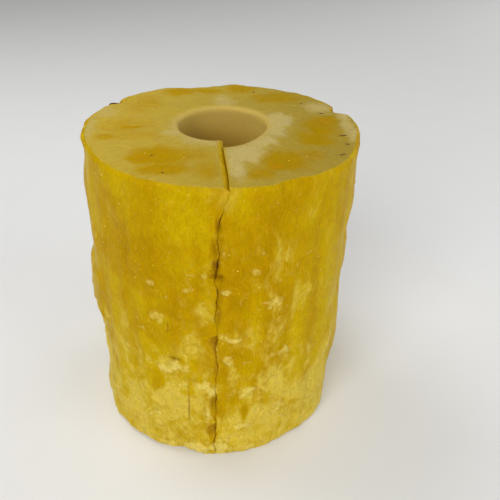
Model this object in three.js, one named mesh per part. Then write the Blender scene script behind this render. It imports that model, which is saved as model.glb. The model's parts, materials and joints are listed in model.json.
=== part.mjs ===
// A fresh pineapple, peeled and cored with a tube cutter and slit down one side.
//
// The flesh is one closed solid: a thick round wall, a little narrower at its base than at its
// top, that bends from one lip of the slit round the core hole to the other lip. Every level of
// it is an open C: an outer line, a line along the core hole and a short straight line at each
// lip. Stitching the lines of neighbouring levels together makes the skin of the solid.
//
// Millimetres, +Z up. The slit faces -Y. The origin is under the middle of the fruit, at its base.

import * as THREE from 'three';
import { mergeVertices } from 'three/addons/utils/BufferGeometryUtils.js';

// ---- Driving dimensions ---------------------------------------------------------------------

const HEIGHT = 110;
const TOP_RADIUS = 46.9;
const BASE_RADIUS = 46.8;
const CORE_RADIUS = 15;
const CORE_OVAL = 0.8; // the hole is this much longer towards +Y and -Y
const CORE_SHIFT = 3.2; // how far the hole lies to +Y of the middle
const LEAN = 2; // how far the base lies to -X of the top

const RIM_ROUND = 1.4; // rounding of the outer edge at the top
const BASE_ROUND = 2.6; // and at the base
const CORE_ROUND = 0.7; // rounding of the core hole's edges

// Where the slit meets the core hole, the corner of the lip towards +X is torn away, most at the
// top, and the other lip's corner reaches into the hole.
const CORNER_TORN = 4;
const CORNER_TORN_DROP = 50; // height over which the torn corner thins out
const CORNER_PROUD = 1.5;
const CORNER_REACH = 8; // how far round the hole both go

const SLIT_TURN = -Math.PI / 2;
const SLIT_WIDTH = 0.7; // width of the slit behind its torn mouth
const SLIT_MOUTH = 6; // how far in from the outer wall the lips are torn
const SLIT_WANDER = 0.7; // how far the slit strays sideways at the outer wall
const SLIT_BEND = 2.4; // how far it turns towards +X over the top of the wall
const SLIT_BEND_DROP = 9; // height of that turn
const LIP_RAGGED = 0.25; // how unevenly each lip is torn back

// Bites torn out of the slit's lips, each widest near its upper end and thinning out downwards.
// Lip 1 is the one towards +X, and lip -1 the other.
const LIP_BITES = [
  { rise: 101, length: 6, bite: 0.8, lip: -1 },
  { rise: 101, length: 6, bite: 0.5, lip: 1 },
  { rise: 95.5, length: 10, bite: 1.6, lip: -1 },
  { rise: 93, length: 14, bite: 1.7, lip: 1 },
  { rise: 82, length: 6, bite: 1.6, lip: 1 },
  { rise: 81, length: 4.5, bite: 1.6, lip: -1 },
  { rise: 72, length: 14, bite: 1.6, lip: 1 },
  { rise: 55.5, length: 15, bite: 2.8, lip: -1 },
  { rise: 44, length: 12, bite: 1.3, lip: 1 },
  { rise: 29, length: 12, bite: 2, lip: -1 },
  { rise: 24, length: 10, bite: 1, lip: 1 },
  { rise: 14.5, length: 12, bite: 2.8, lip: -1 },
];

const WALL_FLUTE = 0.35; // upright flutes that the cutter leaves
const WALL_SWELL = 0.5; // slow swelling of the whole wall
const CORE_SWELL = 0.35;
const TOP_WAVE = 0.3; // unevenness of the knife's cut across the top

const HOLLOW_COUNT = 44; // places where the peel has pulled flesh away
const HOLLOW_DEPTH = 1.9;
const HOLLOW_WIDTH = 5;
const HOLLOW_LENGTH = 8;

// Places where a whole layer has come away with the peel: the wall steps in below the ledge, and
// stands proud of it for a reach above.
const LEDGES = [
  { turn: degrees(194), width: 15, rise: 45.5, reach: 20, step: 2.6 },
  { turn: degrees(82), width: 12, rise: 48, reach: 24, step: 1.5 },
];
const LEDGE_DROP = 5; // height over which the wall steps in
const LEDGE_PROUD = 0.4; // share of the step that stands proud above the ledge

// Broad dents in the wall, and swellings, whose depth is less than nothing.
const DENTS = [
  { turn: degrees(194), width: 12, rise: 104, length: 6, depth: 1.5 },
  { turn: degrees(346), width: 12, rise: 103, length: 8, depth: 0.8 },
  { turn: degrees(347), width: 10, rise: 77, length: 6, depth: 1.8 },
  { turn: degrees(346), width: 9, rise: 57, length: 4, depth: 1.3 },
  { turn: degrees(190), width: 12, rise: 71, length: 5, depth: 0.8 },
  { turn: degrees(197), width: 9, rise: 42, length: 4, depth: 0.9 },
  { turn: degrees(200), width: 12, rise: 8, length: 12, depth: 0.9 },
  { turn: degrees(346), width: 14, rise: 32, length: 18, depth: -0.7 },
  { turn: degrees(347), width: 12, rise: 13, length: 8, depth: 1.6 },
  { turn: degrees(196), width: 12, rise: 17, length: 10, depth: 1 },
  { turn: degrees(165), width: 10, rise: 106, length: 14, depth: -0.7 },
  { turn: degrees(8), width: 7, rise: 108, length: 10, depth: -0.8 },
];

// Pieces broken out of the top rim: where, how wide, how deep and how far down they reach.
const RIM_CHIPS = [
  { turn: degrees(21), width: 3.6, depth: 2.8, drop: 6 },
  { turn: degrees(100), width: 9, depth: 3, drop: 9 },
  { turn: degrees(147.5), width: 2.8, depth: 2, drop: 5 },
  { turn: degrees(-66), width: 5, depth: 1, drop: 5 },
  { turn: degrees(204), width: 4.5, depth: 0.6, drop: 4 },
];

// ---- Fineness of the facets -----------------------------------------------------------------

const WALL_STEPS = 72; // round the outer wall, lip to lip
const CORE_STEPS = 36; // round the core hole, lip to lip
const LIP_STEPS = 4; // from the outer wall to the core hole
const EDGE_STEPS = 2; // over each rounded edge
const BODY_STEPS = 24; // from the lower rounding to the upper one

const MERGE_DISTANCE = 1e-4;

// ---- Small helpers --------------------------------------------------------------------------

function degrees(angle) {
  return (angle * Math.PI) / 180;
}

function mix(a, b, share) {
  return a + (b - a) * share;
}

function smooth(share) {
  const t = Math.min(Math.max(share, 0), 1);
  return t * t * (3 - 2 * t);
}

function fraction(value) {
  return value - Math.floor(value);
}

// An uneven wave between about -1 and 1, the same each time.
function sway(t, phase) {
  const slow = Math.sin(t + phase);
  const middle = Math.sin(2.3 * t + 1.7 * phase);
  const quick = Math.sin(4.1 * t + 2.9 * phase);
  return 0.5 * slow + 0.3 * middle + 0.2 * quick;
}

// The shortest way round from one turn to another, as a distance along the outer wall.
function distanceRound(turn, from) {
  const apart = fraction((turn - from) / (2 * Math.PI) + 0.5) - 0.5;
  return apart * 2 * Math.PI * TOP_RADIUS;
}

// ---- The shape of the flesh -----------------------------------------------------------------

// Hollows are spread by steps of the golden angle, more of them low down than high up.
function scatterHollows() {
  const goldenStep = 0.618034;
  const crowdingLow = 1.35;
  const hollows = [];
  for (let i = 0; i < HOLLOW_COUNT; i += 1) {
    const high = fraction((i + 0.5) / HOLLOW_COUNT + 0.17 * Math.sin(i * 5.1));
    const size = 0.6 + 0.8 * fraction(i * 0.7548);
    hollows.push({
      turn: 2 * Math.PI * fraction(i * goldenStep),
      rise: HEIGHT * 0.96 * high ** crowdingLow,
      width: HOLLOW_WIDTH * size,
      length: HOLLOW_LENGTH * mix(0.6, 1.3, fraction(i * 0.5698)),
      depth: HOLLOW_DEPTH * mix(0.35, 1, fraction(i * 0.3819)) * mix(1, 0.45, high),
    });
  }
  return hollows;
}

const hollows = [...scatterHollows(), ...DENTS];

function hollowDepth(turn, z) {
  let depth = 0;
  for (const hollow of hollows) {
    const across = distanceRound(turn, hollow.turn) / hollow.width;
    const along = (z - hollow.rise) / hollow.length;
    depth += hollow.depth * Math.exp(-across * across - along * along);
  }
  return depth;
}

function chipDepth(turn, z) {
  let depth = 0;
  for (const chip of RIM_CHIPS) {
    const across = distanceRound(turn, chip.turn) / chip.width;
    const reach = smooth(1 - (HEIGHT - z) / chip.drop);
    depth += chip.depth * Math.exp(-(across ** 4)) * reach;
  }
  return depth;
}

function ledgeDepth(turn, z) {
  let depth = 0;
  for (const ledge of LEDGES) {
    const across = distanceRound(turn, ledge.turn) / ledge.width;
    const below = smooth((ledge.rise - z) / LEDGE_DROP + 0.5);
    const above = smooth((ledge.rise + ledge.reach - z) / LEDGE_DROP + 0.5) * (1 - below);
    const fading = mix(0.4, 1, smooth(z / ledge.rise));
    const stepped = (1 - LEDGE_PROUD) * below * fading - LEDGE_PROUD * above;
    depth += ledge.step * Math.exp(-(across ** 4)) * stepped;
  }
  return depth;
}

function wallRadius(turn, level) {
  const straight = mix(BASE_RADIUS, TOP_RADIUS, level.z / HEIGHT);
  const flutes = WALL_FLUTE * sway(9 * turn, 0.6 + 0.012 * level.z);
  const swell = WALL_SWELL * sway(2 * turn + 0.03 * level.z, 2.2);
  const { z } = level;
  const torn = hollowDepth(turn, z) + ledgeDepth(turn, z) + chipDepth(turn, z);
  return straight + flutes + swell - torn - level.round * level.inset;
}

// How far the core hole's wall lies back at the slit's corners. along is as in fleshPoint.
function cornerDepth(along, z) {
  const thinning = mix(0.4, 1, smooth(1 - (HEIGHT - z) / CORNER_TORN_DROP));
  const round = (2 * Math.PI * CORE_RADIUS) / CORNER_REACH;
  const first = Math.exp(-((along * round) ** 2));
  const last = Math.exp(-(((1 - along) * round) ** 2));
  return CORNER_TORN * thinning * first - CORNER_PROUD * last;
}

function coreRadius(along, turn, level) {
  const swell = CORE_SWELL * sway(2 * turn + 0.02 * level.z, 4.4);
  const oval = CORE_OVAL * Math.sin(turn) ** 2;
  const corner = cornerDepth(along, level.z);
  return CORE_RADIUS + oval + swell + corner + CORE_ROUND * level.inset;
}

function biteDepth(z, side) {
  let depth = 0;
  for (const { rise, length, bite, lip } of LIP_BITES) {
    const above = (z - rise) / (0.2 * length);
    const below = (rise - z) / (0.6 * length);
    if (lip === side) depth += bite * Math.exp(-(z > rise ? above ** 4 : below ** 2));
  }
  return depth;
}

// How far towards +X the middle of the slit lies, at the outer wall.
function slitPath(z) {
  const bend = SLIT_BEND * smooth(1 - (HEIGHT - z) / SLIT_BEND_DROP);
  return bend + SLIT_WANDER * sway(0.05 * z, 1.1) - SLIT_WANDER;
}

// How far a lip stands from the slit's own turn: side is 1 for the lip towards +X.
function lipOffset(radius, z, side) {
  const outward = smooth((radius - CORE_RADIUS) / (TOP_RADIUS - CORE_RADIUS));
  const atMouth = smooth(1 - (TOP_RADIUS - radius) / SLIT_MOUTH);
  const ragged = LIP_RAGGED * (1 + sway(0.4 * z, side > 0 ? 0.4 : 3.3));
  const torn = atMouth * (ragged + biteDepth(z, side));
  return SLIT_WIDTH / 2 + torn + outward * side * slitPath(z);
}

// A point of the solid. along runs from the +X lip (0) round to the other lip (1), inward from
// the outer wall (0) to the core hole (1).
function fleshPoint(along, inward, level) {
  const roughTurn = SLIT_TURN + 2 * Math.PI * along;
  const inner = coreRadius(along, roughTurn, level);
  const radius = mix(wallRadius(roughTurn, level), inner, inward);
  const firstLip = Math.asin(lipOffset(radius, level.z, 1) / radius);
  const lastLip = Math.asin(lipOffset(radius, level.z, -1) / radius);
  const turn = mix(SLIT_TURN + firstLip, SLIT_TURN + 2 * Math.PI - lastLip, along);
  const axis = -LEAN * (1 - level.z / HEIGHT);
  const onTop = level.z === HEIGHT ? Math.sin(Math.PI * inward) : 0;
  const wave = TOP_WAVE * onTop * sway(3 * turn, 0.9);
  const x = axis + radius * Math.cos(turn);
  const y = CORE_SHIFT * inward + radius * Math.sin(turn);
  return new THREE.Vector3(x, y, level.z + wave);
}

// ---- Levels and lines -----------------------------------------------------------------------

// The levels over a rounded edge, from the cut face to the wall: how far each lies from the cut
// face, and how much of the rounding it has drawn in, from all of it, 1, to none, 0.
function edgeLevels(round) {
  const levels = [];
  for (let i = 0; i <= EDGE_STEPS; i += 1) {
    const edgeTurn = ((i / EDGE_STEPS) * Math.PI) / 2;
    levels.push({ z: round * (1 - Math.cos(edgeTurn)), round, inset: 1 - Math.sin(edgeTurn) });
  }
  return levels;
}

function levelsOfHeight() {
  const levels = edgeLevels(BASE_ROUND);
  for (let i = 1; i < BODY_STEPS; i += 1) {
    levels.push({ z: mix(BASE_ROUND, HEIGHT - RIM_ROUND, i / BODY_STEPS), round: 0, inset: 0 });
  }
  for (const level of edgeLevels(RIM_ROUND).reverse()) {
    levels.push({ ...level, z: HEIGHT - level.z });
  }
  return levels;
}

// The steps from the outer wall to the core hole are closest together at the wall, where the
// slit's mouth is torn.
function inwardShare(step) {
  return (step / LIP_STEPS) ** 1.5;
}

// A line round the fruit at one level, from lip to lip.
function lineRound(level, inward, steps) {
  const line = [];
  for (let i = 0; i <= steps; i += 1) line.push(fleshPoint(i / steps, inward, level));
  return line;
}

// A line across one lip at one level, from the outer wall to the core hole.
function lineInward(level, along) {
  const line = [];
  for (let i = 0; i <= LIP_STEPS; i += 1) line.push(fleshPoint(along, inwardShare(i), level));
  return line;
}

// The lines across the top or base, from the outer wall to the core hole.
function capLines(level) {
  const lines = [];
  for (let i = 0; i <= LIP_STEPS; i += 1) {
    const steps = i < LIP_STEPS ? WALL_STEPS : CORE_STEPS;
    lines.push(lineRound(level, inwardShare(i), steps));
  }
  return lines;
}

// Triangles between two lines that run the same way. They face the side from which the second
// line lies to the left of the first.
function stitch(first, second, triangles) {
  let i = 0;
  let j = 0;
  while (i < first.length - 1 || j < second.length - 1) {
    const nextFirst = (i + 1) / (first.length - 1);
    const nextSecond = (j + 1) / (second.length - 1);
    if (nextFirst <= nextSecond) {
      triangles.push(first[i], first[i + 1], second[j]);
      i += 1;
    } else {
      triangles.push(first[i], second[j + 1], second[j]);
      j += 1;
    }
  }
}

function stitchAll(lines, triangles) {
  for (let i = 0; i < lines.length - 1; i += 1) stitch(lines[i], lines[i + 1], triangles);
}

// ---- The solid ------------------------------------------------------------------------------

function fleshGeometry() {
  const levels = levelsOfHeight();
  const top = levels[levels.length - 1];
  const upwards = levels;
  const downwards = [...levels].reverse();
  const triangles = [];

  stitchAll(upwards.map((level) => lineRound(level, 0, WALL_STEPS)), triangles);
  stitchAll(downwards.map((level) => lineRound(level, 1, CORE_STEPS)), triangles);
  stitchAll(capLines(top), triangles);
  stitchAll(capLines(levels[0]).reverse(), triangles);
  stitchAll(downwards.map((level) => lineInward(level, 0)), triangles);
  stitchAll(upwards.map((level) => lineInward(level, 1)), triangles);

  const geometry = new THREE.BufferGeometry().setFromPoints(triangles);
  const merged = mergeVertices(geometry, MERGE_DISTANCE);
  merged.computeVertexNormals();
  return merged;
}

// Sets a mesh down with the middle of its box over the origin and its base at zero.
function standOnOrigin(mesh) {
  const box = new THREE.Box3().setFromObject(mesh);
  const middle = box.getCenter(new THREE.Vector3());
  mesh.position.set(-middle.x, -middle.y, -box.min.z);
}

function pineappleFlesh() {
  const ripeFlesh = new THREE.MeshStandardMaterial({
    color: new THREE.Color('rgb(200, 164, 34)'),
    roughness: 0.38,
    metalness: 0,
  });
  const mesh = new THREE.Mesh(fleshGeometry(), ripeFlesh);
  mesh.name = 'pineapple_flesh';
  standOnOrigin(mesh);
  return mesh;
}

const pineapple = new THREE.Group();
pineapple.add(pineappleFlesh());

export default pineapple;
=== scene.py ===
"""A fresh pineapple, peeled, cored and slit down one side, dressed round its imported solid.

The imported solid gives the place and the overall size. This script rebuilds the same form far
more finely, with the torn flesh, fibres, flakes, seeds and beads of juice of the real fruit.
All lengths are in metres. The slit faces -Y and +Z runs up along the core hole.
"""

import json
import logging
import math
from dataclasses import dataclass, field
from enum import Enum
from itertools import product
from typing import Any, Iterable, Optional, Union

import bmesh
import bpy
import numpy as np
from mathutils import Matrix, Vector

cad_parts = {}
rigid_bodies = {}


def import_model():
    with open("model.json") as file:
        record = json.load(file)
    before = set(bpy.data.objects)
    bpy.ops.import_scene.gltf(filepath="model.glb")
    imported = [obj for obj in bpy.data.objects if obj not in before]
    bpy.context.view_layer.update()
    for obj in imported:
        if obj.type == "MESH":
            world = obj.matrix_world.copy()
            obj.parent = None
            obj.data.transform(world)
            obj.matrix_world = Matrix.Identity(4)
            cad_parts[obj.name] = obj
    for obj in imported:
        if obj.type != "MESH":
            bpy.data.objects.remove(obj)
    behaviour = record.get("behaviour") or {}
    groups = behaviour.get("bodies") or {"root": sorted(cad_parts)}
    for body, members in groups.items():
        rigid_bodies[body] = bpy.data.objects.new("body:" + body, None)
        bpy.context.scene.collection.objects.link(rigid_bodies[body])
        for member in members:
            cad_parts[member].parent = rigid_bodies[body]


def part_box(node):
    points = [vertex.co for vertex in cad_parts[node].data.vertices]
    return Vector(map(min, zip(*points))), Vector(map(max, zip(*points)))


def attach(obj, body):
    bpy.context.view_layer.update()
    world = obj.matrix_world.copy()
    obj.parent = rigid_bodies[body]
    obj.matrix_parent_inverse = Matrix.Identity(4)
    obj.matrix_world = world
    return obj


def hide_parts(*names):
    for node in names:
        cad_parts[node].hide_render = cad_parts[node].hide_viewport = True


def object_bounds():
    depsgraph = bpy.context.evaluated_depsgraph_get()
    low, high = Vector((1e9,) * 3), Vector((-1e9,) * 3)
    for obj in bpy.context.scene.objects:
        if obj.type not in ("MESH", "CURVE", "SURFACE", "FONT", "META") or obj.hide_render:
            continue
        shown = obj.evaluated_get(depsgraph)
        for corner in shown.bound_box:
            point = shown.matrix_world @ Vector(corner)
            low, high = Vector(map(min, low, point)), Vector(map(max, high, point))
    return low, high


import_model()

CAD_LOW, CAD_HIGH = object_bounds()

log = logging.getLogger("pineapple")

Array = np.ndarray
Colour = tuple[float, float, float]

MM = 0.001
FULL_TURN = 2.0 * math.pi
NODE = "pineapple_flesh"
BODY = "root"
GRAIN_MAP = "grain"
# The part of a turn after which each next place in a row lies, so that they spread evenly.
GOLDEN_STEP = 0.618034


# ---- Small helpers ---------------------------------------------------------------------------


def mix(first: Any, second: Any, share: Any) -> Any:
    """Returns the value that lies the given share of the way from first to second."""
    return first + (second - first) * share


def smooth(share: Any) -> Any:
    """Eases a share, held between 0 and 1, in and out."""
    held = np.clip(share, 0.0, 1.0)
    return held * held * (3.0 - 2.0 * held)


def ramp(value: Any, start: float, end: float) -> Any:
    """Eases from 0 at start to 1 at end."""
    return smooth((value - start) / (end - start))


def sway(t: Any, phase: float) -> Any:
    """An uneven wave between about -1 and 1, the same each time.

    Args:
        t: where along the wave, in radians.
        phase: picks one of many such waves.

    Returns:
        The height of the wave at t.
    """
    slow = np.sin(t + phase)
    middle = np.sin(2.3 * t + 1.7 * phase)
    quick = np.sin(4.1 * t + 2.9 * phase)
    return 0.5 * slow + 0.3 * middle + 0.2 * quick


def fraction(value: Any) -> Any:
    """Returns the part of a number after its point."""
    return value - np.floor(value)


def screen_colour(red: int, green: int, blue: int) -> Colour:
    """Turns a colour given as it looks on a screen, 0 to 255, into linear light."""
    parts = []
    for level in (red, green, blue):
        share = level / 255.0
        parts.append(share / 12.92 if share <= 0.04045 else ((share + 0.055) / 1.055) ** 2.4)
    return parts[0], parts[1], parts[2]


class Grain:
    """Smooth unevenness in space: a lattice of seeded values with eased steps between them."""

    cells = 48

    def __init__(self, seed: int) -> None:
        """Fills the lattice, by a seed that picks the pattern."""
        self.lattice = np.random.default_rng(seed).uniform(-1.0, 1.0, (self.cells,) * 3)

    def at(self, places: Array, size: float) -> Array:
        """Reads the pattern.

        Args:
            places: one place a row.
            size: the size of a lump.

        Returns:
            One value between -1 and 1 for each place.
        """
        scaled = places / size
        cell = np.floor(scaled).astype(int)
        share = smooth(scaled - cell)
        total = np.zeros(len(places))
        for corner in product((0, 1), repeat=3):
            weight = np.prod(np.where(np.array(corner) == 1, share, 1.0 - share), axis=1)
            x, y, z = ((cell + corner) % self.cells).T
            total += weight * self.lattice[x, y, z]
        return total

    def layered(self, places: Array, size: float, layers: int = 3) -> Array:
        """Adds finer and weaker copies of the pattern to itself."""
        total = np.zeros(len(places))
        for layer in range(layers):
            shifted = places + 0.37 * layer
            total += self.at(shifted, size / 2.0**layer) / 2.0**layer
        return total / 1.6


def add_object(name: str, data: Any) -> bpy.types.Object:
    """Puts a mesh, light or camera in the scene as an object at the origin."""
    added = bpy.data.objects.new(name, data)
    bpy.context.scene.collection.objects.link(added)
    return added


# ---- The sizes of the fruit ------------------------------------------------------------------


@dataclass(frozen=True)
class Fruit:
    """The driving sizes of the peeled and cored fruit."""

    height: float = 110 * MM
    top_radius: float = 46.9 * MM
    base_radius: float = 46.8 * MM
    core_radius: float = 15 * MM
    core_oval: float = 0.8 * MM
    core_shift: float = 3.2 * MM
    lean: float = 2 * MM
    rim_round: float = 1.4 * MM
    base_round: float = 2.6 * MM
    core_round: float = 1.5 * MM
    wall_flute: float = 0.35 * MM
    wall_swell: float = 0.5 * MM
    core_swell: float = 0.35 * MM
    top_wave: float = 0.3 * MM
    corner_torn: float = 4 * MM
    corner_torn_drop: float = 50 * MM
    corner_proud: float = 1.5 * MM
    corner_reach: float = 8 * MM

    def distance_round(self, turn: Array, start: float) -> Array:
        """The shortest way round from one turn to another, along the wall."""
        apart = fraction((turn - start) / FULL_TURN + 0.5) - 0.5
        return apart * FULL_TURN * self.top_radius

    def core_wall(self, along: Array, turn: Array, z: float) -> Array:
        """How far the core hole's wall lies from the axis.

        At the slit the corner of the lip towards +X is torn away, most at the top, and the
        other lip's corner reaches into the hole.

        Args:
            along: from the +X lip, 0, round to the other lip, 1.
            turn: direction from the axis, in radians.
            z: height above the base.

        Returns:
            The distance, one for each point.
        """
        swell = self.core_swell * sway(2.0 * turn + 20.0 * z, 4.4)
        oval = self.core_oval * np.sin(turn) ** 2
        thinning = mix(0.4, 1.0, smooth(1.0 - (self.height - z) / self.corner_torn_drop))
        round_hole = FULL_TURN * self.core_radius / self.corner_reach
        torn = self.corner_torn * thinning * np.exp(-((along * round_hole) ** 2))
        proud = self.corner_proud * np.exp(-(((1.0 - along) * round_hole) ** 2))
        return self.core_radius + oval + swell + torn - proud


@dataclass(frozen=True)
class Bite:
    """A piece torn out of one lip of the slit: lip 1 is the one towards +X.

    It starts abruptly at the top and thins out downwards, the way the flesh tears.
    """

    rise: float
    length: float
    depth: float
    lip: int

    def at(self, z: Array) -> Array:
        """How much flesh it takes at each height."""
        ragged = z + 0.6 * MM * sway(900.0 * z, self.rise / MM)
        above = (ragged - self.rise) / (0.2 * self.length)
        below = (self.rise - ragged) / (0.6 * self.length)
        return self.depth * np.exp(-np.where(ragged > self.rise, above**4, below * below))


@dataclass(frozen=True)
class Gape:
    """A stretch over which the slit stands open."""

    rise: float
    length: float
    width: float

    def at(self, z: Array) -> Array:
        """How wide it stands open at each height."""
        return self.width * np.exp(-(((z - self.rise) / self.length) ** 2))


@dataclass(frozen=True)
class Ledge:
    """A place where a whole layer came away with the peel.

    The wall steps in below the ledge, and stands proud of it for a reach above.
    """

    turn: float
    width: float
    rise: float
    reach: float
    step: float
    drop: float = 3 * MM
    proud: float = 0.4

    def at(self, z: Array) -> Array:
        """How much flesh is gone at each height, or less than nothing where it stands proud."""
        below = smooth((self.rise - z) / self.drop + 0.5)
        above = smooth((self.rise + self.reach - z) / self.drop + 0.5) * (1.0 - below)
        fading = mix(0.4, 1.0, smooth(z / self.rise))
        return self.step * ((1.0 - self.proud) * below * fading - self.proud * above)


@dataclass(frozen=True)
class Dent:
    """A hollow in the wall, or a swelling where its depth is less than nothing."""

    turn: float
    width: float
    rise: float
    length: float
    depth: float


@dataclass(frozen=True)
class Chip:
    """A piece broken out of the top rim."""

    turn: float
    width: float
    depth: float
    drop: float


@dataclass(frozen=True)
class Spot:
    """A roundish place on the wall, or on the top, where x and y stand for turn and rise."""

    turn: float
    rise: float
    width: float
    length: float
    strength: float = 1.0


def in_degrees_and_mm(kind: type, *rows: tuple[float, ...]) -> tuple[Any, ...]:
    """Makes a shape from each row: its turn in degrees, then its lengths in millimetres."""
    return tuple(kind(math.radians(turn), *(size * MM for size in sizes)) for turn, *sizes in rows)


def bites_at(*rows: tuple[float, ...]) -> tuple[Bite, ...]:
    """Makes a bite from each row: rise, length and depth in millimetres, and the lip."""
    return tuple(Bite(*(size * MM for size in sizes), lip) for *sizes, lip in rows)


def wall_spots(*rows: tuple[float, ...]) -> tuple[Spot, ...]:
    """Makes a spot on the wall from each row.

    Args:
        rows: the turn in degrees, the rise, half width and half length in millimetres, and the
            strength where it isn't 1.

    Returns:
        The spots.
    """
    return tuple(Spot(math.radians(turn), *(size * MM for size in rest[:3]), *rest[3:])
                 for turn, *rest in rows)


def top_spots(*rows: tuple[float, ...]) -> tuple[Spot, ...]:
    """Makes a spot on the top from each row, which starts with its x and y in millimetres."""
    return tuple(Spot(*(size * MM for size in row[:4]), *row[4:]) for row in rows)


@dataclass(frozen=True)
class Slit:
    """The knife's cut from the core hole out to the wall, over the whole height."""

    turn: float = -math.pi / 2
    width: float = 0.01 * MM
    bank: float = 2.3
    wander: float = 0.7 * MM
    wiggle: float = 0.6 * MM
    bend: float = 2.4 * MM
    bend_drop: float = 9 * MM
    ragged: float = 0.01 * MM
    bevel: float = 1.5 * MM
    bevel_drop: float = 0.25 * MM
    step: float = 0.32 * MM
    step_reach: float = 5 * MM
    gape_reach: float = 12 * MM
    gapes: tuple[Gape, ...] = (
        Gape(101 * MM, 1.8 * MM, 0.25 * MM),
        Gape(85 * MM, 1.6 * MM, 0.3 * MM),
    )
    bites: tuple[Bite, ...] = bites_at(
        (101, 6, 0.8, -1), (101, 6, 0.5, 1), (95.5, 8, 1.0, -1), (92, 8, 0.7, 1), (83, 5, 1.0, 1),
        (87.5, 6, 1.0, -1), (82.6, 5, 2.2, -1), (74, 14, 1.3, 1), (55.5, 15, 3.5, -1), (45, 10, 1.0, 1),
        (29, 12, 2, -1), (24, 10, 1, 1), (14.5, 12, 3.4, -1),
    )

    def path(self, fruit: Fruit, z: Array) -> Array:
        """How far towards +X the middle of the slit lies at the outer wall."""
        bend = self.bend * smooth(1.0 - (fruit.height - z) / self.bend_drop)
        wiggle = self.wiggle * sway(420.0 * z, 2.3)
        return bend + wiggle + self.wander * sway(50.0 * z, 1.1) - self.wander

    def set_back(self, fruit: Fruit, along: Array, z: float) -> Array:
        """How far the wall lies back near the slit: the lip towards -X stands proud of the other.

        Args:
            fruit: the fruit's sizes.
            along: from the +X lip, 0, round to the other lip, 1.
            z: height above the base.

        Returns:
            The distance, one for each point.
        """
        round_wall = FULL_TURN * fruit.top_radius / self.step_reach
        first = np.exp(-((along * round_wall) ** 2))
        last = np.exp(-((2.0 * (1.0 - along) * round_wall) ** 2))
        fading = ramp(z, 2 * MM, 12 * MM) * ramp(z, fruit.height - 4 * MM, fruit.height - 14 * MM)
        uneven = 1.0 + 0.35 * sway(180.0 * z, 0.9)
        return self.step * fading * uneven * (first - 0.4 * last)

    def offset(self, fruit: Fruit, radius: Array, depth: Array, z: Array, side: int) -> Array:
        """How far a lip stands from the slit's own turn.

        Args:
            fruit: the fruit's sizes.
            radius: distance from the axis.
            depth: distance inward from the outer wall.
            z: height above the base.
            side: 1 for the lip towards +X, -1 for the other.

        Returns:
            The sideways distance of the lip.
        """
        span = fruit.top_radius - fruit.core_radius
        outward = smooth((radius - fruit.core_radius) / span)
        torn = self.ragged * (1.0 + sway(400.0 * z, 0.4 if side > 0 else 3.3))
        for bite in self.bites:
            if bite.lip == side:
                torn = torn + bite.at(z)
        worn = self.bevel * smooth(1.0 - (fruit.height - z) / self.bevel_drop) * (side < 0)
        gape = sum(opening.at(z) for opening in self.gapes) / 2.0
        apart = self.width / 2.0 + worn + gape * smooth(1.0 - depth / self.gape_reach)
        torn = np.maximum(torn - self.bank * depth, 0.0)
        return apart + torn + outward * side * self.path(fruit, z)


# ---- The form of the wall --------------------------------------------------------------------


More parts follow.
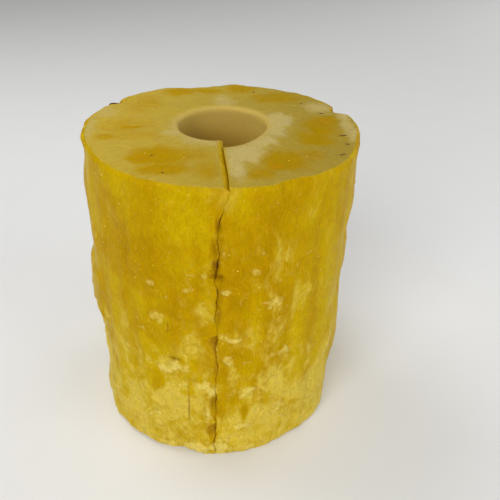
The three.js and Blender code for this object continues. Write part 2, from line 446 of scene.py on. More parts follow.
@dataclass
class Wall:
    """The outer wall: how far it stands from the axis, all round and at every height."""

    fruit: Fruit
    hollow_count: int = 44
    hollow_depth: float = 1.9 * MM
    hollow_width: float = 5 * MM
    hollow_length: float = 8 * MM
    ledges: tuple[Ledge, ...] = in_degrees_and_mm(
        Ledge, (194, 15, 45.5, 20, 2.6), (82, 12, 48, 24, 1.5),
    )
    dents: tuple[Dent, ...] = in_degrees_and_mm(
        Dent,
        (194, 12, 104, 6, 1.5), (346, 12, 103, 8, 0.8), (347, 10, 77, 6, 1.8), (346, 9, 57, 4, 1.3),
        (190, 12, 71, 5, 0.8), (197, 9, 42, 4, 0.9), (200, 12, 8, 12, 0.9), (346, 14, 32, 18, -0.7),
        (347, 12, 13, 8, 1.6), (196, 12, 17, 10, 1), (165, 10, 106, 14, -0.7), (8, 7, 108, 10, -0.8),
    )
    chips: tuple[Chip, ...] = in_degrees_and_mm(
        Chip, (21, 3.6, 2.8, 6), (100, 9, 3, 9), (147.5, 2.8, 2, 5), (-66, 5, 1, 5), (204, 4.5, 0.6, 4),
    )

    def hollows(self) -> Iterable[Dent]:
        """Yields the dents, and each hollow where the peel pulled flesh away."""
        yield from self.dents
        crowding_low = 1.35
        for i in range(self.hollow_count):
            high = fraction((i + 0.5) / self.hollow_count + 0.17 * math.sin(i * 5.1))
            size = 0.6 + 0.8 * fraction(i * 0.7548)
            depth = self.hollow_depth * mix(0.35, 1.0, fraction(i * 0.3819)) * mix(1.0, 0.45, high)
            length = self.hollow_length * mix(0.6, 1.3, fraction(i * 0.5698))
            turn = FULL_TURN * fraction(i * GOLDEN_STEP)
            rise = self.fruit.height * 0.96 * high**crowding_low
            yield Dent(turn, self.hollow_width * size, rise, length, depth)

    def torn_depth(self, turn: Array, z: Array) -> Array:
        """How much flesh is gone from the wall through hollows, ledges and chips."""
        depth = np.zeros(np.broadcast(turn, z).shape)
        for dent in self.hollows():
            across = self.fruit.distance_round(turn, dent.turn) / dent.width
            along = (z - dent.rise) / dent.length
            depth += dent.depth * np.exp(-across * across - along * along)
        for ledge in self.ledges:
            across = self.fruit.distance_round(turn, ledge.turn) / ledge.width
            depth += np.exp(-(across**4)) * ledge.at(z)
        for chip in self.chips:
            across = self.fruit.distance_round(turn, chip.turn) / chip.width
            reach = smooth(1.0 - (self.fruit.height - z) / chip.drop)
            depth += chip.depth * np.exp(-(across**4)) * reach
        return depth

    def radius(self, turn: Array, z: Array) -> Array:
        """The wall's distance from the axis.

        Args:
            turn: direction from the axis, in radians.
            z: height above the base.

        Returns:
            The distance, one for each turn and height.
        """
        fruit = self.fruit
        straight = mix(fruit.base_radius, fruit.top_radius, z / fruit.height)
        flutes = fruit.wall_flute * sway(9.0 * turn, 0.6 + 12.0 * z)
        swell = fruit.wall_swell * sway(2.0 * turn + 30.0 * z, 2.2)
        return straight + flutes + swell - self.torn_depth(turn, z)


# ---- The skin of the flesh -------------------------------------------------------------------


class Face(Enum):
    """The faces of the flesh, a thick block bent round the core hole."""

    WALL = 0
    CORE = 1
    TOP = 2
    BASE = 3
    LIP = 4


@dataclass(frozen=True)
class Level:
    """A height in the fruit, with how much of an edge's rounding is drawn in there, 0 to 1."""

    z: float
    rounding: float
    inset: float


@dataclass
class Flesh:
    """The whole fruit's flesh, as one closed and finely faceted skin."""

    fruit: Fruit
    slit: Slit
    wall: Wall
    wall_steps: int = 400
    core_steps: int = 80
    body_steps: int = 150
    edge_steps: int = 4
    lip_steps: int = 24
    finer_in_front: float = 0.45
    places: list[Array] = field(default_factory=list)
    triangles: list[tuple[int, int, int]] = field(default_factory=list)
    faces: list[int] = field(default_factory=list)
    corners: list[Array] = field(default_factory=list)
    count: int = 0

    def levels(self) -> list[Level]:
        """Lists the heights from the base to the top, closest together over rounded edges."""
        low, high = self.fruit.base_round, self.fruit.height - self.fruit.rim_round
        body = [mix(low, high, i / self.body_steps) for i in range(1, self.body_steps)]
        rim = self.edge(self.fruit.rim_round)[::-1]
        top = [Level(self.fruit.height - edge.z, edge.rounding, edge.inset) for edge in rim]
        return self.edge(self.fruit.base_round) + [Level(z, 0.0, 0.0) for z in body] + top

    def edge(self, rounding: float) -> list[Level]:
        """Lists the levels over a rounded edge, from the cut face to the wall."""
        levels = []
        for i in range(self.edge_steps + 1):
            quarter = i / self.edge_steps * math.pi / 2
            levels.append(Level(rounding * (1 - math.cos(quarter)), rounding, 1 - math.sin(quarter)))
        return levels

    def inward_shares(self) -> Array:
        """The steps from wall to core hole, closest together where the slit's mouth is torn."""
        return np.linspace(0.0, 1.0, self.lip_steps + 1) ** 1.8

    def place(self, along: Array, inward: Array, level: Level) -> Array:
        """Finds points of the solid.

        Args:
            along: from the +X lip, 0, round to the other lip, 1.
            inward: from the outer wall, 0, to the core hole, 1.
            level: the height.

        Returns:
            One point a row.
        """
        fruit, z = self.fruit, level.z
        rough = self.slit.turn + FULL_TURN * along
        outer = self.wall.radius(rough, np.full_like(rough, z)) - level.rounding * level.inset
        outer = outer - self.slit.set_back(fruit, along, z)
        inner = fruit.core_wall(along, rough, z) + fruit.core_round * level.inset
        radius = mix(outer, inner, inward)
        first = np.arcsin(self.slit.offset(fruit, radius, outer - radius, z, 1) / radius)
        last = np.arcsin(self.slit.offset(fruit, radius, outer - radius, z, -1) / radius)
        turn = mix(self.slit.turn + first, self.slit.turn + FULL_TURN - last, along)
        on_top = np.sin(math.pi * inward) if level.z == fruit.height else 0.0
        wave = fruit.top_wave * on_top * sway(3.0 * turn, 0.9)
        x = -fruit.lean * (1.0 - z / fruit.height) + radius * np.cos(turn)
        y = fruit.core_shift * inward + radius * np.sin(turn)
        return np.stack([x, y, z + wave + np.zeros_like(x)], axis=1)

    def line(self, along: Array, inward: Array, level: Level, grain: Array) -> Array:
        """Adds a line of points and returns their numbers.

        Args:
            along: where each point lies round the fruit.
            inward: where each point lies between wall and core hole.
            level: the height.
            grain: where each point lies across and along the fibres, two columns.

        Returns:
            The number of each point.
        """
        self.places.append(self.place(along, inward, level))
        self.corners.append(grain)
        numbers = np.arange(self.count, self.count + len(along))
        self.count += len(along)
        return numbers

    def line_round(self, level: Level, inward: float, steps: int, flat: bool) -> Array:
        """Adds a line round the fruit from lip to lip, on a flat cut or on a wall."""
        share = np.linspace(0.0, 1.0, steps + 1)
        along = share - self.finer_in_front * np.sin(FULL_TURN * share) / FULL_TURN
        radius = mix(self.fruit.top_radius, self.fruit.core_radius, inward)
        middle = (self.fruit.top_radius + self.fruit.core_radius) / 2.0
        across = along * FULL_TURN * (middle if flat else radius)
        run = np.full_like(along, radius if flat else level.z)
        return self.line(along, np.full_like(along, inward), level, np.stack([across, run], 1))

    def line_inward(self, level: Level, along: float) -> Array:
        """Adds a line across one lip, from the outer wall to the core hole."""
        inward = self.inward_shares()
        run = mix(self.fruit.top_radius, self.fruit.core_radius, inward)
        grain = np.stack([np.full_like(inward, level.z), run], 1)
        return self.line(np.full_like(inward, along), inward, level, grain)

    def stitch(self, first: Array, second: Array, face: Face) -> None:
        """Fills the strip between two lines that run the same way with triangles.

        Args:
            first: the numbers of one line's points.
            second: the same of the line to its left, seen from outside.
            face: which face of the flesh the strip belongs to.
        """
        ends = len(first) - 1, len(second) - 1
        i = j = 0
        while i < ends[0] or j < ends[1]:
            if (i + 1) * ends[1] <= (j + 1) * ends[0]:
                self.triangles.append((first[i], first[i + 1], second[j]))
                i += 1
            else:
                self.triangles.append((first[i], second[j + 1], second[j]))
                j += 1
            self.faces.append(face.value)

    def stitch_all(self, lines: list[Array], face: Face) -> None:
        """Fills the strips between all neighbouring lines."""
        for first, second in zip(lines, lines[1:]):
            self.stitch(first, second, face)

    def cap(self, level: Level, coarser: int) -> list[Array]:
        """Adds the lines across the top or base, with fewer points nearer the core hole.

        Args:
            level: the top or the base.
            coarser: by how much the lines between wall and core hole have fewer points.

        Returns:
            The lines, from the wall to the core hole.
        """
        lines = []
        for i, inward in enumerate(self.inward_shares()):
            count = round(mix(self.wall_steps, self.core_steps, inward))
            between = 0 < i < self.lip_steps
            lines.append(self.line_round(level, inward, count // coarser if between else count, True))
        return lines

    def skin(self) -> None:
        """Adds every face of the flesh."""
        levels = self.levels()
        down = levels[::-1]
        self.stitch_all([self.line_round(v, 0.0, self.wall_steps, False) for v in levels], Face.WALL)
        self.stitch_all([self.line_round(v, 1.0, self.core_steps, False) for v in down], Face.CORE)
        self.stitch_all(self.cap(levels[-1], 1), Face.TOP)
        self.stitch_all(self.cap(levels[0], 3)[::-1], Face.BASE)
        self.stitch_all([self.line_inward(v, 0.0) for v in down], Face.LIP)
        self.stitch_all([self.line_inward(v, 1.0) for v in levels], Face.LIP)

    def mesh(self) -> bpy.types.Mesh:
        """Makes the closed mesh, with its grain map and its face kinds.

        Returns:
            The mesh, whose points that meet are joined.
        """
        self.skin()
        places = np.concatenate(self.places)
        mesh = bpy.data.meshes.new("flesh")
        mesh.from_pydata(places.tolist(), [], self.triangles)
        corner_points = np.empty(len(mesh.loops), dtype=np.int32)
        mesh.loops.foreach_get("vertex_index", corner_points)
        grain_map = mesh.uv_layers.new(name=GRAIN_MAP)
        grain = np.concatenate(self.corners)[corner_points]
        grain_map.uv.foreach_set("vector", (grain / MM).astype(np.float32).ravel())
        kinds = mesh.attributes.new("face_kind", "INT", "FACE")
        kinds.data.foreach_set("value", np.array(self.faces, dtype=np.int32))
        work = bmesh.new()
        work.from_mesh(mesh)
        bmesh.ops.remove_doubles(work, verts=work.verts, dist=1e-6)
        kind = work.faces.layers.int["face_kind"]
        for edge in work.edges:
            meeting = {face[kind] for face in edge.link_faces}
            edge.smooth = meeting != {Face.WALL.value, Face.LIP.value}
        work.to_mesh(mesh)
        work.free()
        return mesh


# ---- Relief and ripeness ---------------------------------------------------------------------


class Skin:
    """The points of the flesh: where they are, which way they face and which face they lie on."""

    def __init__(self, mesh: bpy.types.Mesh, fruit: Fruit) -> None:
        """Reads the mesh.

        Args:
            mesh: the closed mesh of the flesh, with its face kinds.
            fruit: the fruit's sizes.
        """
        self.mesh = mesh
        self.count = len(mesh.vertices)
        self.places = self.read(mesh.vertices, "co")
        self.normals = self.read(mesh.vertex_normals, "vector")
        self.high = self.places[:, 2] / fruit.height
        aside = self.places[:, 0] + fruit.lean * (1.0 - self.high)
        self.turn = np.arctan2(self.places[:, 1], aside)
        self.radius = np.hypot(self.places[:, 1], aside)
        self.wall, self.core, self.top, self.base, self.lip = self.face_shares()
        mouth = (self.wall > 0.0) & (self.lip > 0.0)
        outward = np.stack([np.cos(self.turn), np.sin(self.turn), np.zeros(self.count)], axis=1)
        self.normals[mouth] = outward[mouth]

    def read(self, items: Any, name: str) -> Array:
        """Reads a vector from each of the mesh's points."""
        values = np.empty(self.count * 3, dtype=np.float32)
        items.foreach_get(name, values)
        return values.reshape(-1, 3).astype(float)

    def face_shares(self) -> list[Array]:
        """Works out which share of the faces round each point is of each kind."""
        corner_points = np.empty(len(self.mesh.loops), dtype=np.int32)
        self.mesh.loops.foreach_get("vertex_index", corner_points)
        kinds = np.empty(len(self.mesh.polygons), dtype=np.int32)
        self.mesh.attributes["face_kind"].data.foreach_get("value", kinds)
        corner_kinds = np.repeat(kinds, 3)
        whole = np.bincount(corner_points, minlength=self.count)
        shares = []
        for face in Face:
            part = np.bincount(corner_points[corner_kinds == face.value], minlength=self.count)
            shares.append(part / np.maximum(whole, 1))
        return shares

    def move(self, amount: Array) -> None:
        """Moves each point along its normal, but none of them below the base."""
        self.places += self.normals * amount[:, None]
        self.places[:, 2] = np.maximum(self.places[:, 2], 0.0)
        self.mesh.vertices.foreach_set("co", self.places.astype(np.float32).ravel())

    def keep(self, name: str, values: Array) -> None:
        """Keeps a share between 0 and 1 for each point of the mesh under a name."""
        layer = self.mesh.attributes.new(name, "FLOAT", "POINT")
        layer.data.foreach_set("value", np.clip(values, 0.0, 1.0).astype(np.float32))


@dataclass
class Relief:
    """Fine relief of the flesh, and the shares of its looks that each point has."""

    fruit: Fruit
    patches: tuple[Spot, ...] = wall_spots(
        (-114, 62, 2.6, 2.6, 0.55), (-122, 56.4, 1.6, 0.9, 0.55), (-96, 81.4, 1.1, 1.0, 0.6),
        (-101.5, 81.2, 2.8, 0.45, 0.4), (-88.5, 75.4, 1.5, 0.9, 0.6), (-76.3, 82.3, 1.6, 1.4, 0.55),
        (-60, 82, 1.2, 2.0, 0.35), (-54, 84.5, 2.0, 1.2, 0.4), (-67.5, 69.5, 2.6, 2.4, 0.7),
        (-72, 70.5, 1.8, 0.8, 0.5), (-65, 64, 2.4, 3.0, 0.35), (-89, 58, 1.4, 1.8, 0.75),
        (-84.3, 56.6, 1.7, 0.9, 0.8), (-91, 52.8, 0.7, 0.9, 0.6), (-86, 46.5, 1.4, 2.6, 0.6),
        (-63, 47.5, 2.8, 1.8, 0.7), (-67.5, 48, 1.4, 2.0, 0.5), (-101, 51.5, 2.0, 2.6, 0.35),
        (-107, 43.3, 3.0, 1.8, 0.85), (-113, 41, 3.6, 1.4, 0.7), (-104.5, 42.2, 1.6, 1.2, 0.7),
        (-96, 36, 3.0, 1.8, 0.8), (-92.6, 33.5, 1.6, 2.0, 0.9), (-77, 33.5, 2.4, 1.6, 0.85),
        (-79.5, 31.5, 1.8, 1.2, 0.6), (-93.5, 22, 1.3, 3.4, 0.7), (-62, 21.5, 2.4, 2.2, 0.55),
        (-104, 12, 1.4, 2.4, 0.45), (-117, 12.5, 2.0, 3.0, 0.4), (-99, 3.5, 4.4, 2.8, 0.9),
        (-88, 4.5, 4.4, 3.0, 0.9), (-112, 3, 4.4, 2.0, 0.6), (-74, 3.5, 3.0, 2.4, 0.6),
    )
    soft: tuple[Spot, ...] = wall_spots(
        (-114, 61.5, 4.5, 4.5, 0.6), (-95.5, 71, 3.4, 10, 0.6), (-101, 50, 4.5, 5.5, 0.7),
        (-95.5, 46, 5, 7, 0.5), (-70, 78, 7, 14, 0.28), (-112, 42, 8, 4, 0.9), (-110, 22, 11, 20),
        (-126, 20, 10, 22, 0.75), (-96, 34, 5, 6, 0.8), (-94, 20, 3, 8, 0.8), (-67, 66, 5, 8, 0.6),
        (-58, 66, 7, 16, 0.35), (-72, 52, 5, 9, 0.35), (-67, 50, 3, 6, 0.6), (-62, 46, 4, 4, 0.7),
        (-86, 46, 2.4, 4, 0.6), (-86.5, 57.5, 4.5, 2.6, 0.5), (-64, 26, 7, 16, 0.7),
        (-82, 10, 9, 9, 0.8), (-78, 32, 5, 5, 0.7), (-50, 20, 10, 14, 0.5),
    )
    amber: tuple[Spot, ...] = wall_spots(
        (-125, 80, 12, 16, 0.9), (-120, 56, 5, 5, 0.6), (-106, 80, 9, 12, 0.6),
        (-84.5, 72, 4.5, 18, 0.75), (-79, 46, 4.5, 8, 0.35), (-101, 36, 1.8, 5.5, 0.7),
        (-78.3, 22, 1.1, 5, 0.9), (-88.3, 24, 1.5, 6, 0.8), (-85.5, 33, 3.6, 10, 0.4),
        (-74, 38, 3, 5, 0.5), (-99, 26, 1.6, 5, 0.4),
    )
    # Cracks: dents in the wall whose dark brown, and the amber round them, is partly painted shade.
    cracks: tuple[Spot, ...] = wall_spots(
        (-91.2, 99, 0.8, 2.6, 0.8), (-91.8, 91, 1.6, 4.4, 0.4), (-91.5, 85, 1.1, 2.4),
        (-91.8, 81.2, 2.1, 1.5, 0.9), (-90.6, 69, 1.0, 7.0, 0.45), (-91, 44, 0.9, 4.0, 0.35),
        (-92.4, 55.4, 1.7, 2.4, 0.55), (-91.6, 28, 1.3, 3.0, 0.5), (-92.6, 14, 1.7, 2.8, 0.55),
        (-102.2, 25, 0.3, 8.0, 0.6), (-108, 46.6, 2.2, 0.45, 0.6), (-110.7, 59.5, 0.3, 2.2, 0.5),
        (35, 40, 0.9, 6.0), (120, 66, 0.6, 9.0, 0.7), (175, 30, 0.9, 5.0),
    )
    juicy: tuple[Spot, ...] = top_spots(
        (-24, -27, 3.4, 3.4), (-19, -25, 7.0, 6.0, 0.8), (-17, -34, 6.5, 3.6, 0.8),
        (-9, -24, 6.0, 4.0, 0.55), (-5, -34, 3.6, 5.5, 0.6), (-30.5, -1, 3.6, 0.8),
        (-32, 0, 8, 6.0, 0.5), (-38, -9.5, 2.6, 2.6, 0.7), (-28, -8, 7.0, 4.0, 0.45),
        (36, 6, 3.6, 3.6, 0.95), (33, 0, 5.0, 7.5, 0.85), (30, -10, 5.5, 5.0, 0.8), (16, -31, 3.0, 2.6),
        (19, -27, 6.5, 5.5, 0.8), (11, -36, 4.5, 3.4, 0.7), (27, -22, 4.0, 4.0, 0.5),
        (-17, 35.5, 4.5, 4.0, 0.85), (-6, 37.5, 6.0, 2.2, 0.75), (7, 40.5, 5.0, 4.0, 0.85),
        (20, 30, 8.5, 4.5, 0.7), (-29, 21, 7.0, 8.0, 0.5),
    )
    creamy: tuple[Spot, ...] = top_spots(
        (19, 7, 4.0, 6.0), (17, -2, 3.4, 6.0, 0.9), (11, -12, 4.4, 5.0, 0.95),
        (6.5, -21, 4.6, 6.0, 0.95), (4.5, -33, 2.2, 6.0, 0.85), (0, 26, 3.4, 5.5, 0.6),
        (-8, -11, 5.0, 3.4, 0.75), (-16, -6.5, 3.4, 1.6, 0.7), (35, 20, 4.5, 5.0, 0.65),
        (43, 2, 2.0, 14, 0.7), (-41, 14, 3.6, 5.0, 0.55), (-44, -4, 1.8, 12, 0.5),
    )
    strewn_count: int = 230
    proud: float = 0.45 * MM
    crumb: float = 0.8 * MM
    lump: float = 0.5 * MM
    drag: float = 0.22 * MM
    fibre: float = 0.06 * MM
    fruitlet_rise: float = 46 * MM
    fruitlet_depth: float = 0.12 * MM
    crack_depth: float = 0.9 * MM
    mouth_tear: float = 0.02 * MM
    inner_tear: float = 0.03 * MM
    rim_tear: float = 0.3 * MM
    rim_reach: float = 4 * MM
    top_roll: float = 0.22 * MM
    cut_fibre: float = 0.05 * MM

    def __post_init__(self) -> None:
        """Sets up the patterns that the relief is drawn from."""
        self.coarse, self.middle, self.fine = Grain(11), Grain(12), Grain(13)

    def strewn(self) -> Iterable[Spot]:
        """Yields the small torn places all round the wall, more of them low down."""
        for i in range(self.strewn_count):
            turn = FULL_TURN * fraction(i * GOLDEN_STEP + 0.13)
            rise = self.fruit.height * 0.88 * fraction(i * 0.754878) ** 1.3
            width = mix(0.5, 1.7, fraction(i * 0.569840) ** 2) * MM
            length = mix(0.6, 2.4, fraction(i * 0.381966) ** 2) * MM
            yield Spot(turn, rise, width, length, mix(0.12, 0.5, fraction(i * 0.2757)))

    def spots_on_wall(self, skin: Skin, spots: Iterable[Spot], rough: Array) -> Array:
        """How much each point lies in one of the spots on the wall.

        Args:
            skin: the points.
            spots: the spots, by turn and rise.
            rough: an unevenness that frays the spots' edges, one for each point.

        Returns:
            A share for each point.
        """
        total = np.zeros(skin.count)
        for spot in spots:
            across = self.fruit.distance_round(skin.turn, spot.turn) / spot.width
            along = (skin.places[:, 2] - spot.rise) / spot.length
            reach = 1.0 - np.hypot(across, along) / 1.7 + rough
            total = np.maximum(total, spot.strength * smooth(reach / 0.9))
        return total * np.minimum(skin.wall + skin.lip, 1.0)

    def spots_on_top(self, skin: Skin, spots: Iterable[Spot], rough: Array) -> Array:
        """The same on the flat cuts, where a spot lies by its sideways and forward distance."""
        total = np.zeros(skin.count)
        for spot in spots:
            across = (skin.places[:, 0] - spot.turn) / spot.width
            along = (skin.places[:, 1] - spot.rise) / spot.length
            reach = 1.2 - 0.55 * np.hypot(across, along) + rough
            total = np.maximum(total, spot.strength * smooth(reach))
        return total

    def fruitlets(self, skin: Skin) -> Array:
        """The slanting rows of fruitlets, from -1 between them to 1 in their middles."""
        rise = skin.places[:, 2] / self.fruitlet_rise * FULL_TURN
        return 0.5 * (np.cos(8.0 * skin.turn + rise) + np.cos(5.0 * skin.turn - rise))

    def apply(self, mesh: bpy.types.Mesh) -> None:
        """Moves the mesh's points along their normals and stores the shares of its looks.

        Args:
            mesh: the closed mesh of the flesh, with its face kinds.
        """
        skin = Skin(mesh, self.fruit)
        warp = self.coarse.layered(skin.places + 0.3, 5.0 * MM, 2)[:, None] * 1.5 * MM
        rough = self.middle.layered(skin.places + warp, 3.2 * MM, 4)
        loose = self.coarse.layered(skin.places * np.array([1.0, 1.0, 0.85]) + warp, 8.0 * MM, 4)

        fine = self.fine.layered(skin.places + 0.5 * warp, 1.6 * MM, 2)
        ragged = ramp(loose + 0.5 * rough - 0.75 * skin.high, 0.15, 0.8) * skin.wall
        uneven = 0.6 * rough + 0.45 * fine
        patches = 0.85 * self.spots_on_wall(skin, self.patches, uneven)
        patches = np.maximum(patches, self.spots_on_wall(skin, self.strewn(), uneven))
        torn = np.maximum(0.65 * ragged, patches)
        lemon = ramp(0.55 * loose + 0.3 * rough - 1.5 * skin.high, -0.95, 0.15) * skin.wall
        lemon = np.maximum(lemon, self.spots_on_wall(skin, self.soft, 0.55 * rough + 0.25 * loose))
        amber = self.spots_on_wall(skin, self.amber, 0.35 * rough + 0.25 * loose)
        lemon = lemon * (1.0 - 0.85 * amber)
        cracks = self.spots_on_wall(skin, self.cracks, 0.3 * rough)
        skin.move(self.heights(skin, torn, lemon, cracks))
        self.keep_looks(skin, torn, lemon, cracks, rough)
        skin.keep("juicy", amber)

    def heights(self, skin: Skin, torn: Array, lemon: Array, cracks: Array) -> Array:
        """Works out how far each point moves along its normal.

        Args:
            skin: the points.
            torn: the share of torn flesh at each point.
            lemon: the share of pale, loose flesh.
            cracks: the share of cracks.

        Returns:
            A distance for each point.
        """
        places, span = skin.places, self.fruit.top_radius - self.fruit.core_radius
        upright = places * np.array([1.0, 1.0, 0.14])
        polar = np.stack([skin.turn * 26 * MM, skin.radius * 0.16, places[:, 2]], axis=1)
        outward = ramp(skin.radius, self.fruit.core_radius, self.fruit.top_radius)

        wall = torn * (self.proud + self.crumb * self.fine.layered(places, 2.2 * MM, 2))
        wall += lemon * self.lump * self.middle.layered(places, 4.5 * MM, 3)
        wall += self.fibre * self.fine.at(upright, 1.2 * MM)
        wall += self.drag * self.middle.at(upright, 3.6 * MM)
        wall += self.drag * self.coarse.layered(places, 6.0 * MM, 2)
        wall -= self.fruitlet_depth * np.maximum(self.fruitlets(skin), 0.0) + self.crack_depth * cracks

        tear = np.maximum(self.middle.layered(places, 2.6 * MM, 3) + 0.1, 0.0)
        at_rim = ramp(skin.radius, self.fruit.top_radius - self.rim_reach, self.fruit.top_radius)
        top = self.top_roll * self.coarse.at(places, 9.0 * MM)
        top += self.cut_fibre * self.fine.at(polar, 0.8 * MM) - self.rim_tear * at_rim * tear
        near_mouth = ramp(skin.radius, self.fruit.top_radius - 0.3 * span, self.fruit.top_radius)
        lip = -mix(self.inner_tear, self.mouth_tear, near_mouth) * outward * tear
        core = self.cut_fibre * self.fine.at(places * np.array([0.25, 0.25, 1.0]), 1.0 * MM)
        return skin.wall * wall + skin.top * top + skin.lip * lip + skin.core * core

    def keep_looks(self, skin: Skin, torn: Array, lemon: Array, cracks: Array, rough: Array) -> None:
        """Stores what the finishes and the scatters read from the mesh.

        Args:
            skin: the points.
            torn: the share of torn flesh at each point.
            lemon: the share of pale, loose flesh.
            cracks: the share of cracks.
            rough: an unevenness between about -1 and 1.
        """
        places, fruit = skin.places, self.fruit
        upright = places * np.array([1.0, 1.0, 0.09])
        band = self.coarse.at(upright, 5.0 * MM) + 0.6 * self.middle.at(upright + 0.2, 2.6 * MM)
        blotch = self.coarse.layered(places + 0.1, 9.0 * MM, 3)
        ripe_wall = 0.42 + 0.34 * band + 0.3 * blotch + 0.08 * self.fruitlets(skin) + 0.25 * skin.high
        ripe_top = self.spots_on_top(skin, self.juicy, 0.28 * rough) + 0.12 * blotch
        at_core = ramp(skin.radius, fruit.core_radius + 7 * MM, fruit.core_radius)
        pale = np.maximum(self.spots_on_top(skin, self.creamy, 0.4 * rough), 0.55 * at_core)
        inside = np.minimum(fruit.top_radius - skin.radius, fruit.height - places[:, 2])
        depth = ramp(inside, 0.4 * MM, 2.0 * MM)
        on_edge = 0.4 * skin.lip * ramp(fruit.height - places[:, 2], 2.5 * MM, 0.6 * MM)
        # Painted shade: the core hole's wall darkens further down.
        hole_painted_shade = skin.core * ramp(fruit.height - places[:, 2], -4 * MM, 24 * MM)
        beside = np.exp(-((np.abs(places[:, 0] + 1.5 * MM) / (4 * MM)) ** 2)) * (places[:, 1] < 0)
        fray = 0.8 * torn + 0.5 * beside * skin.wall + 0.25 * skin.lip * (1.0 - depth)
        inner = np.minimum(skin.top + skin.core, 1.0)
        clear = ramp(places[:, 2], 1.5 * MM, 4 * MM)
        looks = {
            "torn": torn,
            "lemon": lemon,
            "ripe": mix(ripe_wall, ripe_top, inner) + 0.5 * cracks,
            "pale": pale * inner,
            "cut": skin.top + skin.base + skin.core + on_edge,
            "bore": skin.core,
            "lip": skin.lip - on_edge,
            # Depth in the slit and down the core hole, for the painted light in the slit and the painted
            # shade in the hole.
            "deep": depth * skin.lip + hole_painted_shade,
            "crack": cracks,
            # How far towards +X a point lies, which sets the painted shade that darkens the top that way.
            "aside": ramp(places[:, 0], -45 * MM, 45 * MM),
            "fray": fray * ramp(skin.high, 0.96, 0.75) * clear,
            "scrap": torn * clear,
            "dewy": (skin.wall + 0.25 * skin.top) * clear,
        }
        for name, share in looks.items():
            skin.keep(name, share)


# ---- Writing materials -----------------------------------------------------------------------


class Value:
    """A socket of a material, with the arithmetic that the finishes use on it."""

    def __init__(self, recipe: "Recipe", socket: bpy.types.NodeSocket) -> None:
        """Wraps a node's output, with the material it belongs to."""
        self.recipe = recipe
        self.socket = socket

    def __add__(self, other: Any) -> "Value":
        """Adds."""
        return self.recipe.math("ADD", self, other)

    def __sub__(self, other: Any) -> "Value":
        """Subtracts."""
        return self.recipe.math("SUBTRACT", self, other)

    def __rsub__(self, other: Any) -> "Value":
        """Subtracts this value from a number."""
        return self.recipe.math("SUBTRACT", other, self)

    def __mul__(self, other: Any) -> "Value":
        """Multiplies."""
        return self.recipe.math("MULTIPLY", self, other)

    __radd__ = __add__
    __rmul__ = __mul__

    def ramp(self, start: float, end: float, low: float = 0.0, high: float = 1.0) -> "Value":
        """Eases from low at start to high at end.

        Args:
            start: the value at which the result is low.
            end: the value at which it is high.
            low: the result up to start.
            high: the result from end.

        Returns:
            The eased value.
        """
        settings = {"interpolation_type": "SMOOTHSTEP", "clamp": True}
        sockets = {"Value": self, "From Min": start, "From Max": end, "To Min": low, "To Max": high}
        return self.recipe.out(self.recipe.node("ShaderNodeMapRange", settings, sockets), "Result")


class NodeWriter:
    """Makes the nodes of a tree, whether a material's or a geometry's."""

    tree: bpy.types.NodeTree

    def node(self, kind: str, settings: dict[str, Any], sockets: dict[Any, Any]) -> bpy.types.Node:
        """Makes any node.

        Args:
            kind: the node's type.
            settings: its own settings, which are set first.
            sockets: numbers, colours or values for its inputs, by name or by number.

        Returns:
            The node.
        """
        node = self.tree.nodes.new(kind)
        for key, setting in settings.items():
            setattr(node, key, setting)
        for key, given in sockets.items():
            socket = node.inputs[key]
            if isinstance(given, Value):
                given = given.socket
            if isinstance(given, bpy.types.NodeSocket):
                self.tree.links.new(given, socket)
            elif socket.type == "RGBA":
                socket.default_value = (*given, 1.0)
            else:
                socket.default_value = given
        return node


